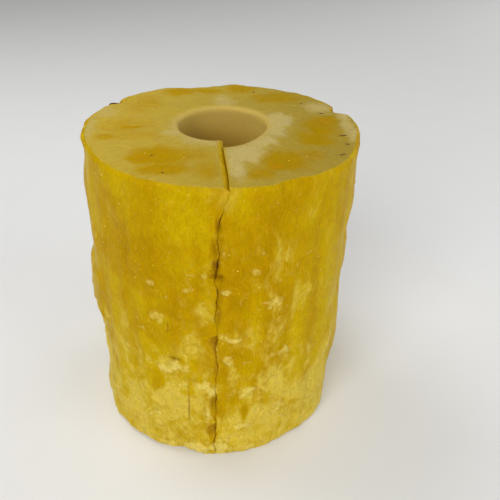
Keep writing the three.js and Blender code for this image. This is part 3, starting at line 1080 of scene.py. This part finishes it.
class Recipe(NodeWriter):
    """A material's nodes, built up by name."""

    def __init__(self, name: str) -> None:
        """Starts an empty material.

        Args:
            name: the material's name.
        """
        self.material = bpy.data.materials.new(name)
        self.material.use_nodes = True
        self.tree = self.material.node_tree
        self.tree.nodes.clear()

    def out(self, node: bpy.types.Node, key: Any = 0) -> Value:
        """Wraps one output of a node."""
        return Value(self, node.outputs[key])

    def math(self, operation: str, first: Any, second: Any) -> Value:
        """Adds a Math node."""
        return self.out(self.node("ShaderNodeMath", {"operation": operation}, {0: first, 1: second}))

    def blend(self, first: Any, second: Any, share: Any, way: str = "MIX") -> Value:
        """Mixes two colours.

        Args:
            first: the colour at share 0.
            second: the colour at share 1.
            share: how much of the second.
            way: how the second goes on the first.

        Returns:
            The mixed colour.
        """
        settings = {"data_type": "RGBA", "blend_type": way, "clamp_factor": True}
        node = self.node("ShaderNodeMix", settings, {0: share, 6: first, 7: second})
        return self.out(node, 2)

    def share(self, name: str) -> Value:
        """Reads a number that the mesh keeps for each point."""
        return self.out(self.node("ShaderNodeAttribute", {"attribute_name": name}, {}), "Fac")

    def place(self) -> Value:
        """Reads the place on the piece, in its own frame."""
        return self.out(self.node("ShaderNodeTexCoord", {}, {}), "Object")

    def grain(self, across: float, along: float) -> Value:
        """Reads the grain map, drawn out along the fibres.

        Args:
            across: the size of one cell across the fibres, in millimetres.
            along: its size along them.

        Returns:
            A vector that counts cells.
        """
        grain = self.out(self.node("ShaderNodeUVMap", {"uv_map": GRAIN_MAP}, {}), "UV")
        scale = (1.0 / across, 1.0 / along, 1.0)
        settings = {"operation": "MULTIPLY"}
        return self.out(self.node("ShaderNodeVectorMath", settings, {0: grain, 1: scale}))

    def noise(self, vector: Value, scale: float, detail: float = 2.0, warp: float = 0.0) -> Value:
        """Adds a noise texture and returns its value."""
        sockets = {"Vector": vector, "Scale": scale, "Detail": detail, "Distortion": warp}
        return self.out(self.node("ShaderNodeTexNoise", {}, sockets), "Fac")

    def cells(self, vector: Value, scale: float) -> Value:
        """Adds a cell texture and returns the distance from each cell's own point."""
        sockets = {"Vector": vector, "Scale": scale}
        return self.out(self.node("ShaderNodeTexVoronoi", {"feature": "F1"}, sockets), "Distance")

    def bump(self, height: Value, distance: float, strength: float, below: Optional[Value] = None) -> Value:
        """Turns a height into a normal.

        Args:
            height: the height, from 0 to 1.
            distance: how high 1 is, in metres.
            strength: how much of it shows.
            below: a normal that this one is laid over.

        Returns:
            The normal.
        """
        sockets = {"Height": height, "Distance": distance, "Strength": strength}
        if below is not None:
            sockets["Normal"] = below
        return self.out(self.node("ShaderNodeBump", {}, sockets), "Normal")

    def finish(self, sockets: dict[str, Any]) -> bpy.types.Material:
        """Adds the surface shader, with what goes into its inputs, and returns the material."""
        shader = self.node("ShaderNodeBsdfPrincipled", {}, sockets)
        self.node("ShaderNodeOutputMaterial", {}, {"Surface": self.out(shader)})
        return self.material


# ---- Finishes --------------------------------------------------------------------------------


@dataclass(frozen=True)
class FleshFinish:
    """Ripe, wet pineapple flesh: amber where it is full of juice, pale and matt where torn."""

    amber: Colour = screen_colour(178, 139, 0)
    # Deep amber of the ripest flesh, also painted as shadow round the edges of torn places.
    deep: Colour = screen_colour(166, 127, 0)
    golden: Colour = screen_colour(193, 161, 2)
    lemon: Colour = screen_colour(210, 184, 68)
    torn: Colour = screen_colour(220, 198, 100)
    cream: Colour = screen_colour(193, 173, 106)
    cut: Colour = screen_colour(192, 163, 58)
    # Painted shade: the cut top darkens to this towards +X.
    cut_painted_shade: Colour = screen_colour(162, 138, 50)
    juice: Colour = screen_colour(181, 142, 0)
    # Painted shade: the juice on the top darkens to this towards +X.
    juice_painted_shade: Colour = screen_colour(166, 131, 0)
    ember: Colour = screen_colour(184, 130, 0)
    bore: Colour = screen_colour(194, 168, 86)
    # Painted shade: the core hole's wall darkens to this further down.
    hollow: Colour = screen_colour(174, 136, 46)
    # Painted light: the slit's lips brighten to this deeper into the slit.
    slit_painted_light: Colour = screen_colour(216, 174, 40)
    recess: Colour = screen_colour(184, 145, 4)
    # Dark brown of the cracks, partly painted shade in them.
    crack: Colour = screen_colour(116, 74, 0)
    # Painted glint: tiny bright dots standing in for highlights on the wet flesh.
    painted_glint_colour: Colour = screen_colour(236, 218, 124)
    # Lumps of each pattern in a metre.
    clouds: float = 150.0
    lumps: float = 100.0
    mottles: float = 420.0
    crumbs: float = 950.0
    dots: float = 1000.0
    flecks: float = 460.0

    def make(self) -> bpy.types.Material:
        """Builds the material.

        Returns:
            The material of the flesh.
        """
        r = Recipe("ripe_flesh")
        place = r.place()
        torn, lemon, ripe, pale = (r.share(name) for name in ("torn", "lemon", "ripe", "pale"))
        cut, bore, lip, deep = (r.share(name) for name in ("cut", "bore", "lip", "deep"))
        crack, juicy, aside = r.share("crack"), r.share("juicy"), r.share("aside")

        cloud = r.noise(place, self.clouds, 3.0, 0.4)
        lump = r.noise(place, self.lumps, 3.0, 0.8)
        mottle = r.noise(place, self.mottles, 3.0, 0.6)
        crumb = r.noise(place, self.crumbs, 2.0, 0.4)
        fibre = r.noise(r.grain(0.7, 6.0), 1.0, 2.0, 0.3)
        thread = r.noise(r.grain(0.3, 2.6), 1.0, 2.0)
        dots = r.cells(place, self.dots)
        flecks = r.cells(place, self.flecks)

        # The wall: golden, amber where it is sweet, pale where the flesh is loose.
        sweet = (ripe + 0.5 * juicy + 0.8 * (cloud - 0.5) + 0.5 * (mottle - 0.5)).ramp(0.2, 0.95)
        wall = r.blend(self.golden, self.amber, sweet)
        wall = r.blend(wall, self.deep, (ripe + 0.4 * juicy + cloud - 0.5).ramp(0.8, 1.2) * 0.6)
        streak = r.noise(r.grain(3.2, 13.0), 1.0, 3.0, 0.8)
        loose = 0.9 * lemon + 1.3 * (lump - 0.5) + 1.3 * (streak - 0.5) + 0.3 * (mottle - 0.5)
        loose = loose.ramp(0.1, 1.0)
        wall = r.blend(wall, self.lemon, loose * 0.95)

        # The cut top: painted shade makes it duller towards +X; it is juicy in places and creamy in others.
        top = r.blend(self.cut, self.cut_painted_shade, aside)
        juice_with_painted_shade = r.blend(self.juice, self.juice_painted_shade, aside)
        top = r.blend(top, juice_with_painted_shade, (ripe + 0.4 * (cloud - 0.5)).ramp(0.1, 0.8))
        top = r.blend(top, self.ember, (ripe + 0.3 * (mottle - 0.5)).ramp(0.75, 1.15) * 0.7)
        top = r.blend(top, self.cream, (pale + 0.5 * (mottle - 0.5)).ramp(0.1, 0.9) * 0.9)

        # The core hole and slit lips by depth: painted shade down the hole, painted light deeper in the
        # slit.
        colour = r.blend(wall, top, cut)
        colour = r.blend(colour, r.blend(self.bore, self.hollow, deep), bore)
        # Painted light: the lips turn paler and brighter deeper into the slit.
        colour = r.blend(colour, r.blend(self.recess, self.slit_painted_light, deep), lip)

        # Torn places with painted edge shadow, loose flecks, cracks with painted shade, painted glints.
        painted_edge_shadow = torn.ramp(0.04, 0.16) * (1.0 - torn.ramp(0.16, 0.34))
        colour = r.blend(colour, self.deep, painted_edge_shadow * 0.25)
        frayed = (torn + 0.5 * (mottle - 0.5) + 0.3 * (crumb - 0.5)).ramp(0.12, 0.8)
        colour = r.blend(colour, self.torn, frayed * 0.8)
        near = (0.6 * loose + 0.5 * torn + 0.6 * (lump - 0.5)).ramp(0.15, 0.65)
        fleck = flecks.ramp(0.36, 0.12) * near * (1.0 - cut) * (1.0 - lip)
        colour = r.blend(colour, self.torn, fleck * 0.45)
        colour = r.blend(colour, self.crack, crack * 0.92)
        # Painted glints: bright dots where the wet flesh would catch the light.
        painted_glint = dots.ramp(0.2, 0.1) * mottle.ramp(0.5, 0.62) * (1.0 - cut) * (1.0 - bore) * 0.35
        colour = r.blend(colour, self.painted_glint_colour, painted_glint)

        # The grain of the flesh, which lightens and darkens all of it a little.
        uneven = (0.2 * fibre + 0.3 * thread + 0.3 * mottle + 0.2 * crumb).ramp(0.3, 0.7, -0.18, 0.16)
        shade = 1.0 + uneven * (1.0 - 0.8 * bore) * (1.0 - 0.4 * cut)
        grey = r.out(r.node("ShaderNodeCombineXYZ", {}, {0: shade, 1: shade, 2: shade}))
        colour = r.blend(colour, grey, 1.0, "MULTIPLY")

        # Roughness and relief. The core hole is calmer than the rest.
        rough = (0.6 * thread + 0.4 * cloud + 0.5 * frayed).ramp(0.3, 0.9, 0.28, 0.6)
        calm = 1.0 - 0.85 * bore
        normal = r.bump(fibre * calm, 0.5 * MM, 0.4)
        normal = r.bump((frayed + fleck) * (0.6 + mottle), 0.4 * MM, 0.45, normal)
        normal = r.bump(thread * calm, 0.2 * MM, 0.4, normal)
        normal = r.bump(crumb, 0.2 * MM, 0.35, normal)
        return r.finish({
            "Base Color": colour,
            "Roughness": rough,
            "Normal": normal,
            "IOR": 1.34,
            "Specular IOR Level": 0.03,
            "Subsurface Weight": 0.35,
            "Subsurface Radius": (1.0, 0.7, 0.1),
            "Subsurface Scale": 2.5 * MM,
            "Coat Weight": mottle.ramp(0.6, 0.74, 0.0, 0.16),
            "Coat Roughness": 0.12,
        })


@dataclass(frozen=True)
class ShredFinish:
    """Thin loose flesh: fibres and flakes, pale where the light comes through."""

    base: Colour = screen_colour(200, 166, 20)
    tip: Colour = screen_colour(216, 190, 76)

    def make(self) -> bpy.types.Material:
        """Builds the material of loose flesh."""
        r = Recipe("loose_flesh")
        cloud = r.noise(r.place(), 420.0, 2.0)
        colour = r.blend(self.base, self.tip, cloud.ramp(0.35, 0.65))
        return r.finish({
            "Base Color": colour,
            "Roughness": cloud.ramp(0.3, 0.7, 0.3, 0.5),
            "Normal": r.bump(cloud, 0.1 * MM, 0.4),
            "Specular IOR Level": 0.15,
            "Subsurface Weight": 0.5,
            "Subsurface Radius": (1.0, 0.7, 0.2),
            "Subsurface Scale": 1.5 * MM,
        })


@dataclass(frozen=True)
class JuiceFinish:
    """Clear yellow juice standing in small beads."""

    tint: Colour = screen_colour(222, 186, 40)
    deep: Colour = screen_colour(196, 152, 8)

    def make(self) -> bpy.types.Material:
        """Builds the material of the juice."""
        r = Recipe("juice")
        cloud = r.noise(r.place(), 300.0, 2.0)
        return r.finish({
            "Base Color": r.blend(self.tint, self.deep, cloud.ramp(0.35, 0.65)),
            "Roughness": cloud.ramp(0.3, 0.7, 0.05, 0.14),
            "IOR": 1.34,
            "Subsurface Weight": 0.4,
            "Subsurface Radius": (1.0, 0.7, 0.1),
            "Subsurface Scale": 1.0 * MM,
            "Coat Weight": 0.6,
            "Coat Roughness": 0.05,
        })


@dataclass(frozen=True)
class PeelFinish:
    """Dark woody remains of the peel and the fruit's small brown seeds."""

    dark: Colour = screen_colour(58, 38, 18)
    warm: Colour = screen_colour(112, 72, 26)

    def make(self) -> bpy.types.Material:
        """Builds the material of the peel's remains."""
        r = Recipe("peel_remains")
        cloud = r.noise(r.place(), 700.0, 3.0)
        return r.finish({
            "Base Color": r.blend(self.dark, self.warm, cloud.ramp(0.35, 0.7)),
            "Roughness": cloud.ramp(0.3, 0.7, 0.4, 0.7),
            "Normal": r.bump(cloud, 0.2 * MM, 0.6),
        })


@dataclass(frozen=True)
class FloorFinish:
    """A plain pale floor."""

    tone: Colour = (0.86, 0.86, 0.85)
    shade: Colour = (0.84, 0.84, 0.83)

    def make(self) -> bpy.types.Material:
        """Builds the material of the floor."""
        r = Recipe("pale_floor")
        cloud = r.noise(r.place(), 40.0, 2.0)
        colour = r.blend(self.tone, self.shade, cloud)
        return r.finish({"Base Color": colour, "Roughness": 0.6, "Specular IOR Level": 0.2})


# ---- Small shapes ----------------------------------------------------------------------------


def swept_mesh(name: str, rings: list[Array]) -> bpy.types.Mesh:
    """Makes a closed mesh from rings of points, with a point at each end.

    Args:
        name: the mesh's name.
        rings: the rings, from one end to the other, each with the same number of points that
            run anticlockwise when seen from the far end.

    Returns:
        The mesh.
    """
    sides = len(rings[0])
    points = np.concatenate([rings[0].mean(0)[None], *rings, rings[-1].mean(0)[None]])
    last = len(points) - 1
    faces: list[tuple[int, ...]] = []
    for side in range(sides):
        after = (side + 1) % sides
        faces.append((0, 1 + after, 1 + side))
        faces.append((last - sides + side, last - sides + after, last))
        for ring in range(len(rings) - 1):
            low, high = 1 + ring * sides, 1 + (ring + 1) * sides
            faces.append((low + side, low + after, high + after, high + side))
    mesh = bpy.data.meshes.new(name)
    mesh.from_pydata(points.tolist(), [], faces)
    mesh.shade_smooth()
    return mesh


def ring_of(middle: Array, half: tuple[float, float], sides: int) -> Array:
    """Makes an oval ring of points round +Z."""
    angle = np.arange(sides) / sides * FULL_TURN
    flat = np.stack([half[0] * np.cos(angle), half[1] * np.sin(angle), np.zeros(sides)], 1)
    return flat + middle


@dataclass(frozen=True)
class Strand:
    """A thin fibre of flesh that tapers and curls."""

    length: float = 3.2 * MM
    radius: float = 0.06 * MM
    curl: float = 1.5 * MM
    steps: int = 6
    sides: int = 4

    def mesh(self, kind: int) -> bpy.types.Mesh:
        """Makes one of the strands."""
        rings = []
        for i in range(self.steps):
            t = i / (self.steps - 1)
            bend = self.curl * t * t * math.cos(1.9 * kind)
            twist = 0.5 * self.curl * math.sin(3.0 * t + kind)
            half = self.radius * (1.0 - 0.8 * t) * (1.0 + 0.25 * math.sin(5.0 * t + kind))
            middle = np.array([bend, twist * t, self.length * (t - 0.06)])
            rings.append(ring_of(middle, (half * 1.5, half), self.sides))
        return swept_mesh(f"strand_{kind}", rings)


@dataclass(frozen=True)
class Flake:
    """A thin curled scrap of flesh that lies on the wall."""

    length: float = 2.4 * MM
    width: float = 1.5 * MM
    thickness: float = 0.28 * MM
    lift: float = 0.35 * MM
    shift: float = 0.3 * MM
    steps: int = 7
    sides: int = 8

    def mesh(self, kind: int) -> bpy.types.Mesh:
        """Makes one of the flakes, lying along +Y with its back to -Z."""
        rings = []
        angle = np.arange(self.sides) / self.sides * FULL_TURN
        for i in range(self.steps):
            t = i / (self.steps - 1)
            swell = math.sin(math.pi * mix(0.08, 0.92, t)) ** 0.7
            ragged = 1.0 + 0.3 * math.sin(7.0 * t + 2.1 * kind)
            lift = self.lift * math.sin(2.0 * t + kind) * t
            shift = self.shift * math.sin(4.0 * t + kind)
            across = self.width / 2 * swell * ragged * np.cos(angle)
            up = self.thickness / 2 * swell * np.sin(angle)
            curl = 0.35 * across * across / self.width
            along = np.full(self.sides, self.length * (0.5 - t))
            rings.append(np.stack([across + shift, along, up + lift + curl], 1))
        return swept_mesh(f"flake_{kind}", rings)


@dataclass(frozen=True)
class Bead:
    """A low round bead of juice."""

    radius: float = 0.32 * MM
    height: float = 0.24 * MM
    steps: int = 6
    sides: int = 10

    def mesh(self, kind: int) -> bpy.types.Mesh:
        """Makes one of the beads, half sunk below its origin."""
        rings = []
        stretch = 1.0 + 0.22 * kind
        for i in range(self.steps):
            rise = mix(-0.94, 0.94, i / (self.steps - 1))
            half = self.radius * math.sqrt(1.0 - rise * rise)
            middle = np.array([0.0, 0.0, self.height * rise])
            rings.append(ring_of(middle, (half, half * stretch), self.sides))
        return swept_mesh(f"bead_{kind}", rings)


# ---- Scattering small things over the flesh --------------------------------------------------


class GeometryTree(NodeWriter):
    """A tree of geometry nodes with named inputs."""

    def __init__(self, name: str) -> None:
        """Starts a tree that takes and gives geometry.

        Args:
            name: the tree's name.
        """
        self.tree = bpy.data.node_groups.new(name, "GeometryNodeTree")
        self.tree.interface.new_socket("Geometry", in_out="INPUT", socket_type="NodeSocketGeometry")
        self.tree.interface.new_socket("Geometry", in_out="OUTPUT", socket_type="NodeSocketGeometry")
        self.source = self.tree.nodes.new("NodeGroupInput")
        self.identifiers: dict[str, str] = {}

    def add_input(self, name: str, kind: str) -> None:
        """Gives the tree a named input of a socket type."""
        socket = self.tree.interface.new_socket(name, in_out="INPUT", socket_type=kind)
        self.identifiers[name] = socket.identifier

    def given(self, name: str) -> bpy.types.NodeSocket:
        """Returns the socket that carries a named input."""
        return self.source.outputs[name]

    def end(self, result: bpy.types.NodeSocket) -> None:
        """Links the tree's result to its output."""
        target = self.tree.nodes.new("NodeGroupOutput")
        self.tree.links.new(result, target.inputs["Geometry"])

    def run(self, mesh: bpy.types.Mesh, values: dict[str, Any], name: str) -> bpy.types.Object:
        """Runs the tree on a mesh and keeps the result as a plain piece.

        Args:
            mesh: the mesh that the tree starts from.
            values: a value for each named input.
            name: the name of the new piece.

        Returns:
            The new piece.
        """
        carrier = add_object(f"{name}_carrier", mesh)
        modifier = carrier.modifiers.new("scatter", "NODES")
        modifier.node_group = self.tree
        for key, value in values.items():
            modifier[self.identifiers[key]] = value
        shown = carrier.evaluated_get(bpy.context.evaluated_depsgraph_get())
        made = bpy.data.meshes.new_from_object(shown)
        carrier.modifiers.remove(modifier)
        bpy.data.objects.remove(carrier)
        return add_object(name, made)


@dataclass
class Scatter:
    """Small shapes strewn over the flesh, more where the mesh says there is room for them."""

    name: str
    shape: Union[Strand, Flake, Bead]
    room: str
    finish: bpy.types.Material
    density: float
    smallest: float
    largest: float
    least_tilt: float
    most_tilt: float
    seed: int
    kinds: int = 3

    def inputs(self, shapes: bpy.types.Collection) -> dict[str, tuple[str, Any]]:
        """Lists the tree's inputs by name, each with the kind of its socket and its value."""
        return {
            "Shapes": ("Collection", shapes),
            "Density": ("Float", self.density),
            "Smallest": ("Float", self.smallest),
            "Largest": ("Float", self.largest),
            "Least Tilt": ("Float", self.least_tilt),
            "Most Tilt": ("Float", self.most_tilt),
            "Seed": ("Int", self.seed),
            "Finish": ("Material", self.finish),
        }

    def tree(self, inputs: dict[str, tuple[str, Any]]) -> GeometryTree:
        """Builds the tree: points on the faces, shapes on the points, made real.

        Args:
            inputs: the tree's inputs.

        Returns:
            The tree.
        """
        t = GeometryTree(f"{self.name}_tree")
        for name, (kind, _) in inputs.items():
            t.add_input(name, f"NodeSocket{kind}")
        room = t.node("GeometryNodeInputNamedAttribute", {"data_type": "FLOAT"}, {"Name": self.room})
        amount = t.node("ShaderNodeMath", {"operation": "MULTIPLY"}, {
            0: room.outputs["Attribute"], 1: t.given("Density")})
        points = t.node("GeometryNodeDistributePointsOnFaces", {"distribute_method": "RANDOM"}, {
            "Mesh": t.given("Geometry"), "Density": amount.outputs[0], "Seed": t.given("Seed")})
        tilt = self.random(t, t.given("Least Tilt"), t.given("Most Tilt"))
        spin = self.random(t, 0.0, FULL_TURN)
        angles = t.node("ShaderNodeCombineXYZ", {}, {"X": tilt, "Z": spin})
        lean = t.node("FunctionNodeEulerToRotation", {}, {0: angles.outputs[0]})
        facing = t.node("FunctionNodeRotateRotation", {"rotation_space": "LOCAL"}, {
            "Rotation": points.outputs["Rotation"], "Rotate By": lean.outputs[0]})
        size = self.random(t, t.given("Smallest"), t.given("Largest"))
        shapes = t.node("GeometryNodeCollectionInfo", {}, {
            "Collection": t.given("Shapes"), "Separate Children": True, "Reset Children": True})
        placed = t.node("GeometryNodeInstanceOnPoints", {}, {
            "Points": points.outputs["Points"], "Instance": shapes.outputs[0],
            "Pick Instance": True, "Rotation": facing.outputs[0], "Scale": size})
        real = t.node("GeometryNodeRealizeInstances", {}, {"Geometry": placed.outputs[0]})
        dressed = t.node("GeometryNodeSetMaterial", {}, {
            "Geometry": real.outputs[0], "Material": t.given("Finish")})
        t.end(dressed.outputs[0])
        return t

    def random(self, t: GeometryTree, low: Any, high: Any) -> bpy.types.NodeSocket:
        """Adds a random number for each point, between two values."""
        node = t.node("FunctionNodeRandomValue", {"data_type": "FLOAT"}, {
            2: low, 3: high, "ID": t.node("GeometryNodeInputIndex", {}, {}).outputs[0],
            "Seed": self.seed + len(t.tree.nodes)})
        return node.outputs[1]

    def make(self, flesh: bpy.types.Mesh) -> bpy.types.Object:
        """Strews the shapes.

        Args:
            flesh: the mesh of the flesh, with its room for the shapes.

        Returns:
            The finished piece.
        """
        drawer = bpy.data.collections.new(f"{self.name}_shapes")
        for kind in range(self.kinds):
            drawer.objects.link(bpy.data.objects.new(f"{self.name}_{kind}", self.shape.mesh(kind)))
        inputs = self.inputs(drawer)
        values = {name: value for name, (_, value) in inputs.items()}
        piece = self.tree(inputs).run(flesh, values, self.name)
        for item in list(drawer.objects):
            bpy.data.objects.remove(item)
        bpy.data.collections.remove(drawer)
        return piece


# ---- Remains of the peel ---------------------------------------------------------------------


@dataclass
class PeelRemains:
    """The dark strip of peel left along the rim's nick, and the small brown seeds."""

    fruit: Fruit
    wall: Wall
    strip_start: float = math.radians(142.8)
    strip_turn: float = math.radians(9.6)
    strip_half: tuple[float, float] = (0.26 * MM, 0.46 * MM)
    strip_steps: int = 36
    strip_sides: int = 10
    seed_width: float = 0.24
    seed_rise: float = 0.8
    seed_lift: float = 0.02 * MM
    # Each seed's x and y in millimetres, and how far it is drawn out.
    seeds: tuple[tuple[float, float, float], ...] = (
        (-21.4, -24.5, 0.34), (-17.1, -36.5, 0.36), (40, -14, 0.75), (37, -22.5, 0.95),
        (39.5, -7, 1.3), (35.5, 14, 1.1), (29, 24, 0.4), (-31, 22, 0.4), (12, 37, 0.4),
    )

    def strip(self) -> bpy.types.Mesh:
        """Makes the thin strip of peel that follows the edge of the rim's nick."""
        rings = []
        angle = np.arange(self.strip_sides) / self.strip_sides * FULL_TURN
        for i in range(self.strip_steps):
            t = i / (self.strip_steps - 1)
            turn = self.strip_start + self.strip_turn * t
            z = self.fruit.height - (0.5 - 0.12 * math.sin(9.0 * t)) * MM
            out = float(self.wall.radius(np.array([turn]), np.array([z]))[0]) - (0.68 - 0.45 * t) * MM
            thin = math.sin(math.pi * mix(0.05, 0.95, t)) ** 0.6 * (1.0 + 0.3 * math.sin(17.0 * t))
            thin *= 1.0 - 0.35 * math.exp(-(((t - 0.62) / 0.14) ** 2))
            across = out + self.strip_half[0] * thin * np.cos(angle)
            up = z - self.strip_half[1] * thin * np.sin(angle)
            rings.append(np.stack([across * math.cos(turn), across * math.sin(turn), up], 1))
        return swept_mesh("strip", rings)

    def make(self, finish: bpy.types.Material) -> bpy.types.Object:
        """Builds the strip of peel and the seeds as one piece.

        Args:
            finish: their material.

        Returns:
            The piece.
        """
        joined = bmesh.new()
        joined.from_mesh(self.strip())
        flakes = [Flake().mesh(kind) for kind in range(3)]
        for i, (x, y, stretch) in enumerate(self.seeds):
            place = Vector((x * MM, y * MM, self.fruit.height + self.seed_lift))
            turn = math.pi / 2 + 0.3 * math.sin(5.0 * i)
            size = Vector((self.seed_width, stretch, self.seed_rise))
            move = Matrix.Translation(place) @ Matrix.Rotation(turn, 4, "Z")
            part = flakes[i % len(flakes)].copy()
            part.transform(move @ Matrix.Diagonal((*size, 1.0)))
            joined.from_mesh(part)
            bpy.data.meshes.remove(part)
        mesh = bpy.data.meshes.new("peel_remains")
        joined.to_mesh(mesh)
        joined.free()
        mesh.materials.append(finish)
        mesh.shade_smooth()
        return add_object("peel_remains", mesh)


# ---- The studio ------------------------------------------------------------------------------


@dataclass(frozen=True)
class Lamp:
    """A soft light panel that faces the fruit."""

    name: str
    place: tuple[float, float, float]
    width: float
    power: float


@dataclass
class Studio:
    """The floor, the light and the camera."""

    target: Vector
    lens: float = 43.2
    camera_back: float = 192.64 * MM
    camera_height: float = 184.2 * MM
    camera_side: float = 0.84 * MM
    pitch: float = math.radians(32.65)
    yaw: float = math.radians(3.2)
    roll: float = math.radians(1.9)
    floor_size: float = 6.0
    sky: float = 0.25
    lamps: tuple[Lamp, ...] = (
        Lamp("key_panel", (-0.4, -0.9, 0.7), 0.7, 8.5),
        Lamp("top_panel", (-0.3, 0.2, 0.6), 0.35, 1.35),
        Lamp("fill_panel", (0.85, -0.55, 0.4), 0.7, 3.5),
        Lamp("back_panel", (0.85, 0.7, 0.5), 0.7, 3.0),
    )

    def floor(self) -> None:
        """Builds the floor, which isn't part of the fruit."""
        half = self.floor_size / 2.0
        corners = [(-half, -half, 0), (half, -half, 0), (half, half, 0), (-half, half, 0)]
        mesh = bpy.data.meshes.new("floor")
        mesh.from_pydata(corners, [], [(0, 1, 2, 3)])
        mesh.materials.append(FloorFinish().make())
        floor = add_object("floor", mesh)

    def lights(self) -> None:
        """Hangs the light panels and lights the sky."""
        for lamp in self.lamps:
            light = bpy.data.lights.new(lamp.name, "AREA")
            light.shape = "SQUARE"
            light.size = lamp.width
            light.energy = lamp.power
            panel = add_object(lamp.name, light)
            panel.location = lamp.place
            aim = self.target - Vector(lamp.place)
            panel.rotation_euler = aim.to_track_quat("-Z", "Y").to_euler()
        world = bpy.data.worlds.new("soft_sky")
        world.use_nodes = True
        sky = world.node_tree.nodes["Background"]
        sky.inputs["Color"].default_value = (1.0, 1.0, 1.0, 1.0)
        sky.inputs["Strength"].default_value = self.sky
        bpy.context.scene.world = world

    def camera(self) -> None:
        """Sets the camera, which looks down on the fruit and is turned a little aside."""
        data = bpy.data.cameras.new("camera")
        data.lens = self.lens
        data.clip_start = 0.01
        ahead = Vector((math.sin(self.yaw) * math.cos(self.pitch),
                        math.cos(self.yaw) * math.cos(self.pitch), -math.sin(self.pitch)))
        level = Vector((math.cos(self.yaw), -math.sin(self.yaw), 0.0))
        upright = level.cross(ahead)
        right = level * math.cos(self.roll) + upright * math.sin(self.roll)
        up = upright * math.cos(self.roll) - level * math.sin(self.roll)
        turn = Matrix((right, up, -ahead)).transposed().to_4x4()
        place = Vector((self.camera_side, -self.camera_back, self.camera_height))
        camera = add_object("camera", data)
        camera.matrix_world = Matrix.Translation(place) @ turn
        bpy.context.scene.camera = camera


# ---- The fruit -------------------------------------------------------------------------------


class Pineapple:
    """The whole fruit: its flesh and all that is loose on it."""

    def __init__(self) -> None:
        """Sets the sizes. The fruit hasn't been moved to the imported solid's place yet."""
        self.fruit = Fruit()
        self.slit = Slit()
        self.wall = Wall(self.fruit)
        self.moved = Vector()

    def set_down(self, mesh: bpy.types.Mesh) -> Vector:
        """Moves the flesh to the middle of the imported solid's box, and down to the box's base.

        Args:
            mesh: the mesh of the flesh, with its relief.

        Returns:
            How far it was moved.
        """
        places = np.array([v.co for v in mesh.vertices])
        low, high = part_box(NODE)
        middle = (places.min(0) + places.max(0)) / 2.0
        wanted = (Vector(low) + Vector(high)) / 2.0
        move = Vector((wanted.x - middle[0], wanted.y - middle[1], low[2] - places[:, 2].min()))
        mesh.transform(Matrix.Translation(move))
        return move

    def keep(self, piece: bpy.types.Object) -> None:
        """Makes a finished piece move with the fruit's body and reports it."""
        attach(piece, BODY)
        log.info("%s: %d faces", piece.name, len(piece.data.polygons))

    def make_flesh(self) -> bpy.types.Object:
        """Builds the flesh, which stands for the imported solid."""
        mesh = Flesh(self.fruit, self.slit, self.wall).mesh()
        Relief(self.fruit).apply(mesh)
        self.moved = self.set_down(mesh)
        mesh.materials.append(FleshFinish().make())
        mesh.shade_smooth()
        piece = add_object("flesh", mesh)
        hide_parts(NODE)
        self.keep(piece)
        return piece

    def make_loose(self, flesh: bpy.types.Object) -> None:
        """Strews fibres, flakes and juice over the flesh."""
        shred = ShredFinish().make()
        juice = JuiceFinish().make()
        scatters = (
            Scatter("fibres", Strand(), "fray", shred, 24000.0, 0.4, 1.1, 1.1, 1.6, 3),
            Scatter("flakes", Flake(), "scrap", shred, 16000.0, 0.3, 0.9, -0.35, 0.35, 5),
            Scatter("juice_beads", Bead(), "dewy", juice, 14000.0, 0.35, 1.0, 0.0, 0.0, 7),
        )
        for scatter in scatters:
            piece = scatter.make(flesh.data)
            self.keep(piece)

    def make_remains(self) -> None:
        """Adds what is left of the peel, and the seeds."""
        piece = PeelRemains(self.fruit, self.wall).make(PeelFinish().make())
        piece.data.transform(Matrix.Translation(self.moved))
        self.keep(piece)


def main() -> None:
    """Builds the studio and the fruit."""
    logging.basicConfig(level=logging.INFO, format="%(name)s: %(message)s")
    bpy.context.scene.view_settings.view_transform = "Standard"
    middle = (CAD_LOW + CAD_HIGH) / 2.0
    studio = Studio(middle)
    studio.camera()
    studio.lights()
    studio.floor()

    pineapple = Pineapple()
    flesh = pineapple.make_flesh()
    pineapple.make_loose(flesh)
    pineapple.make_remains()


if __name__ == "__main__":
    main()
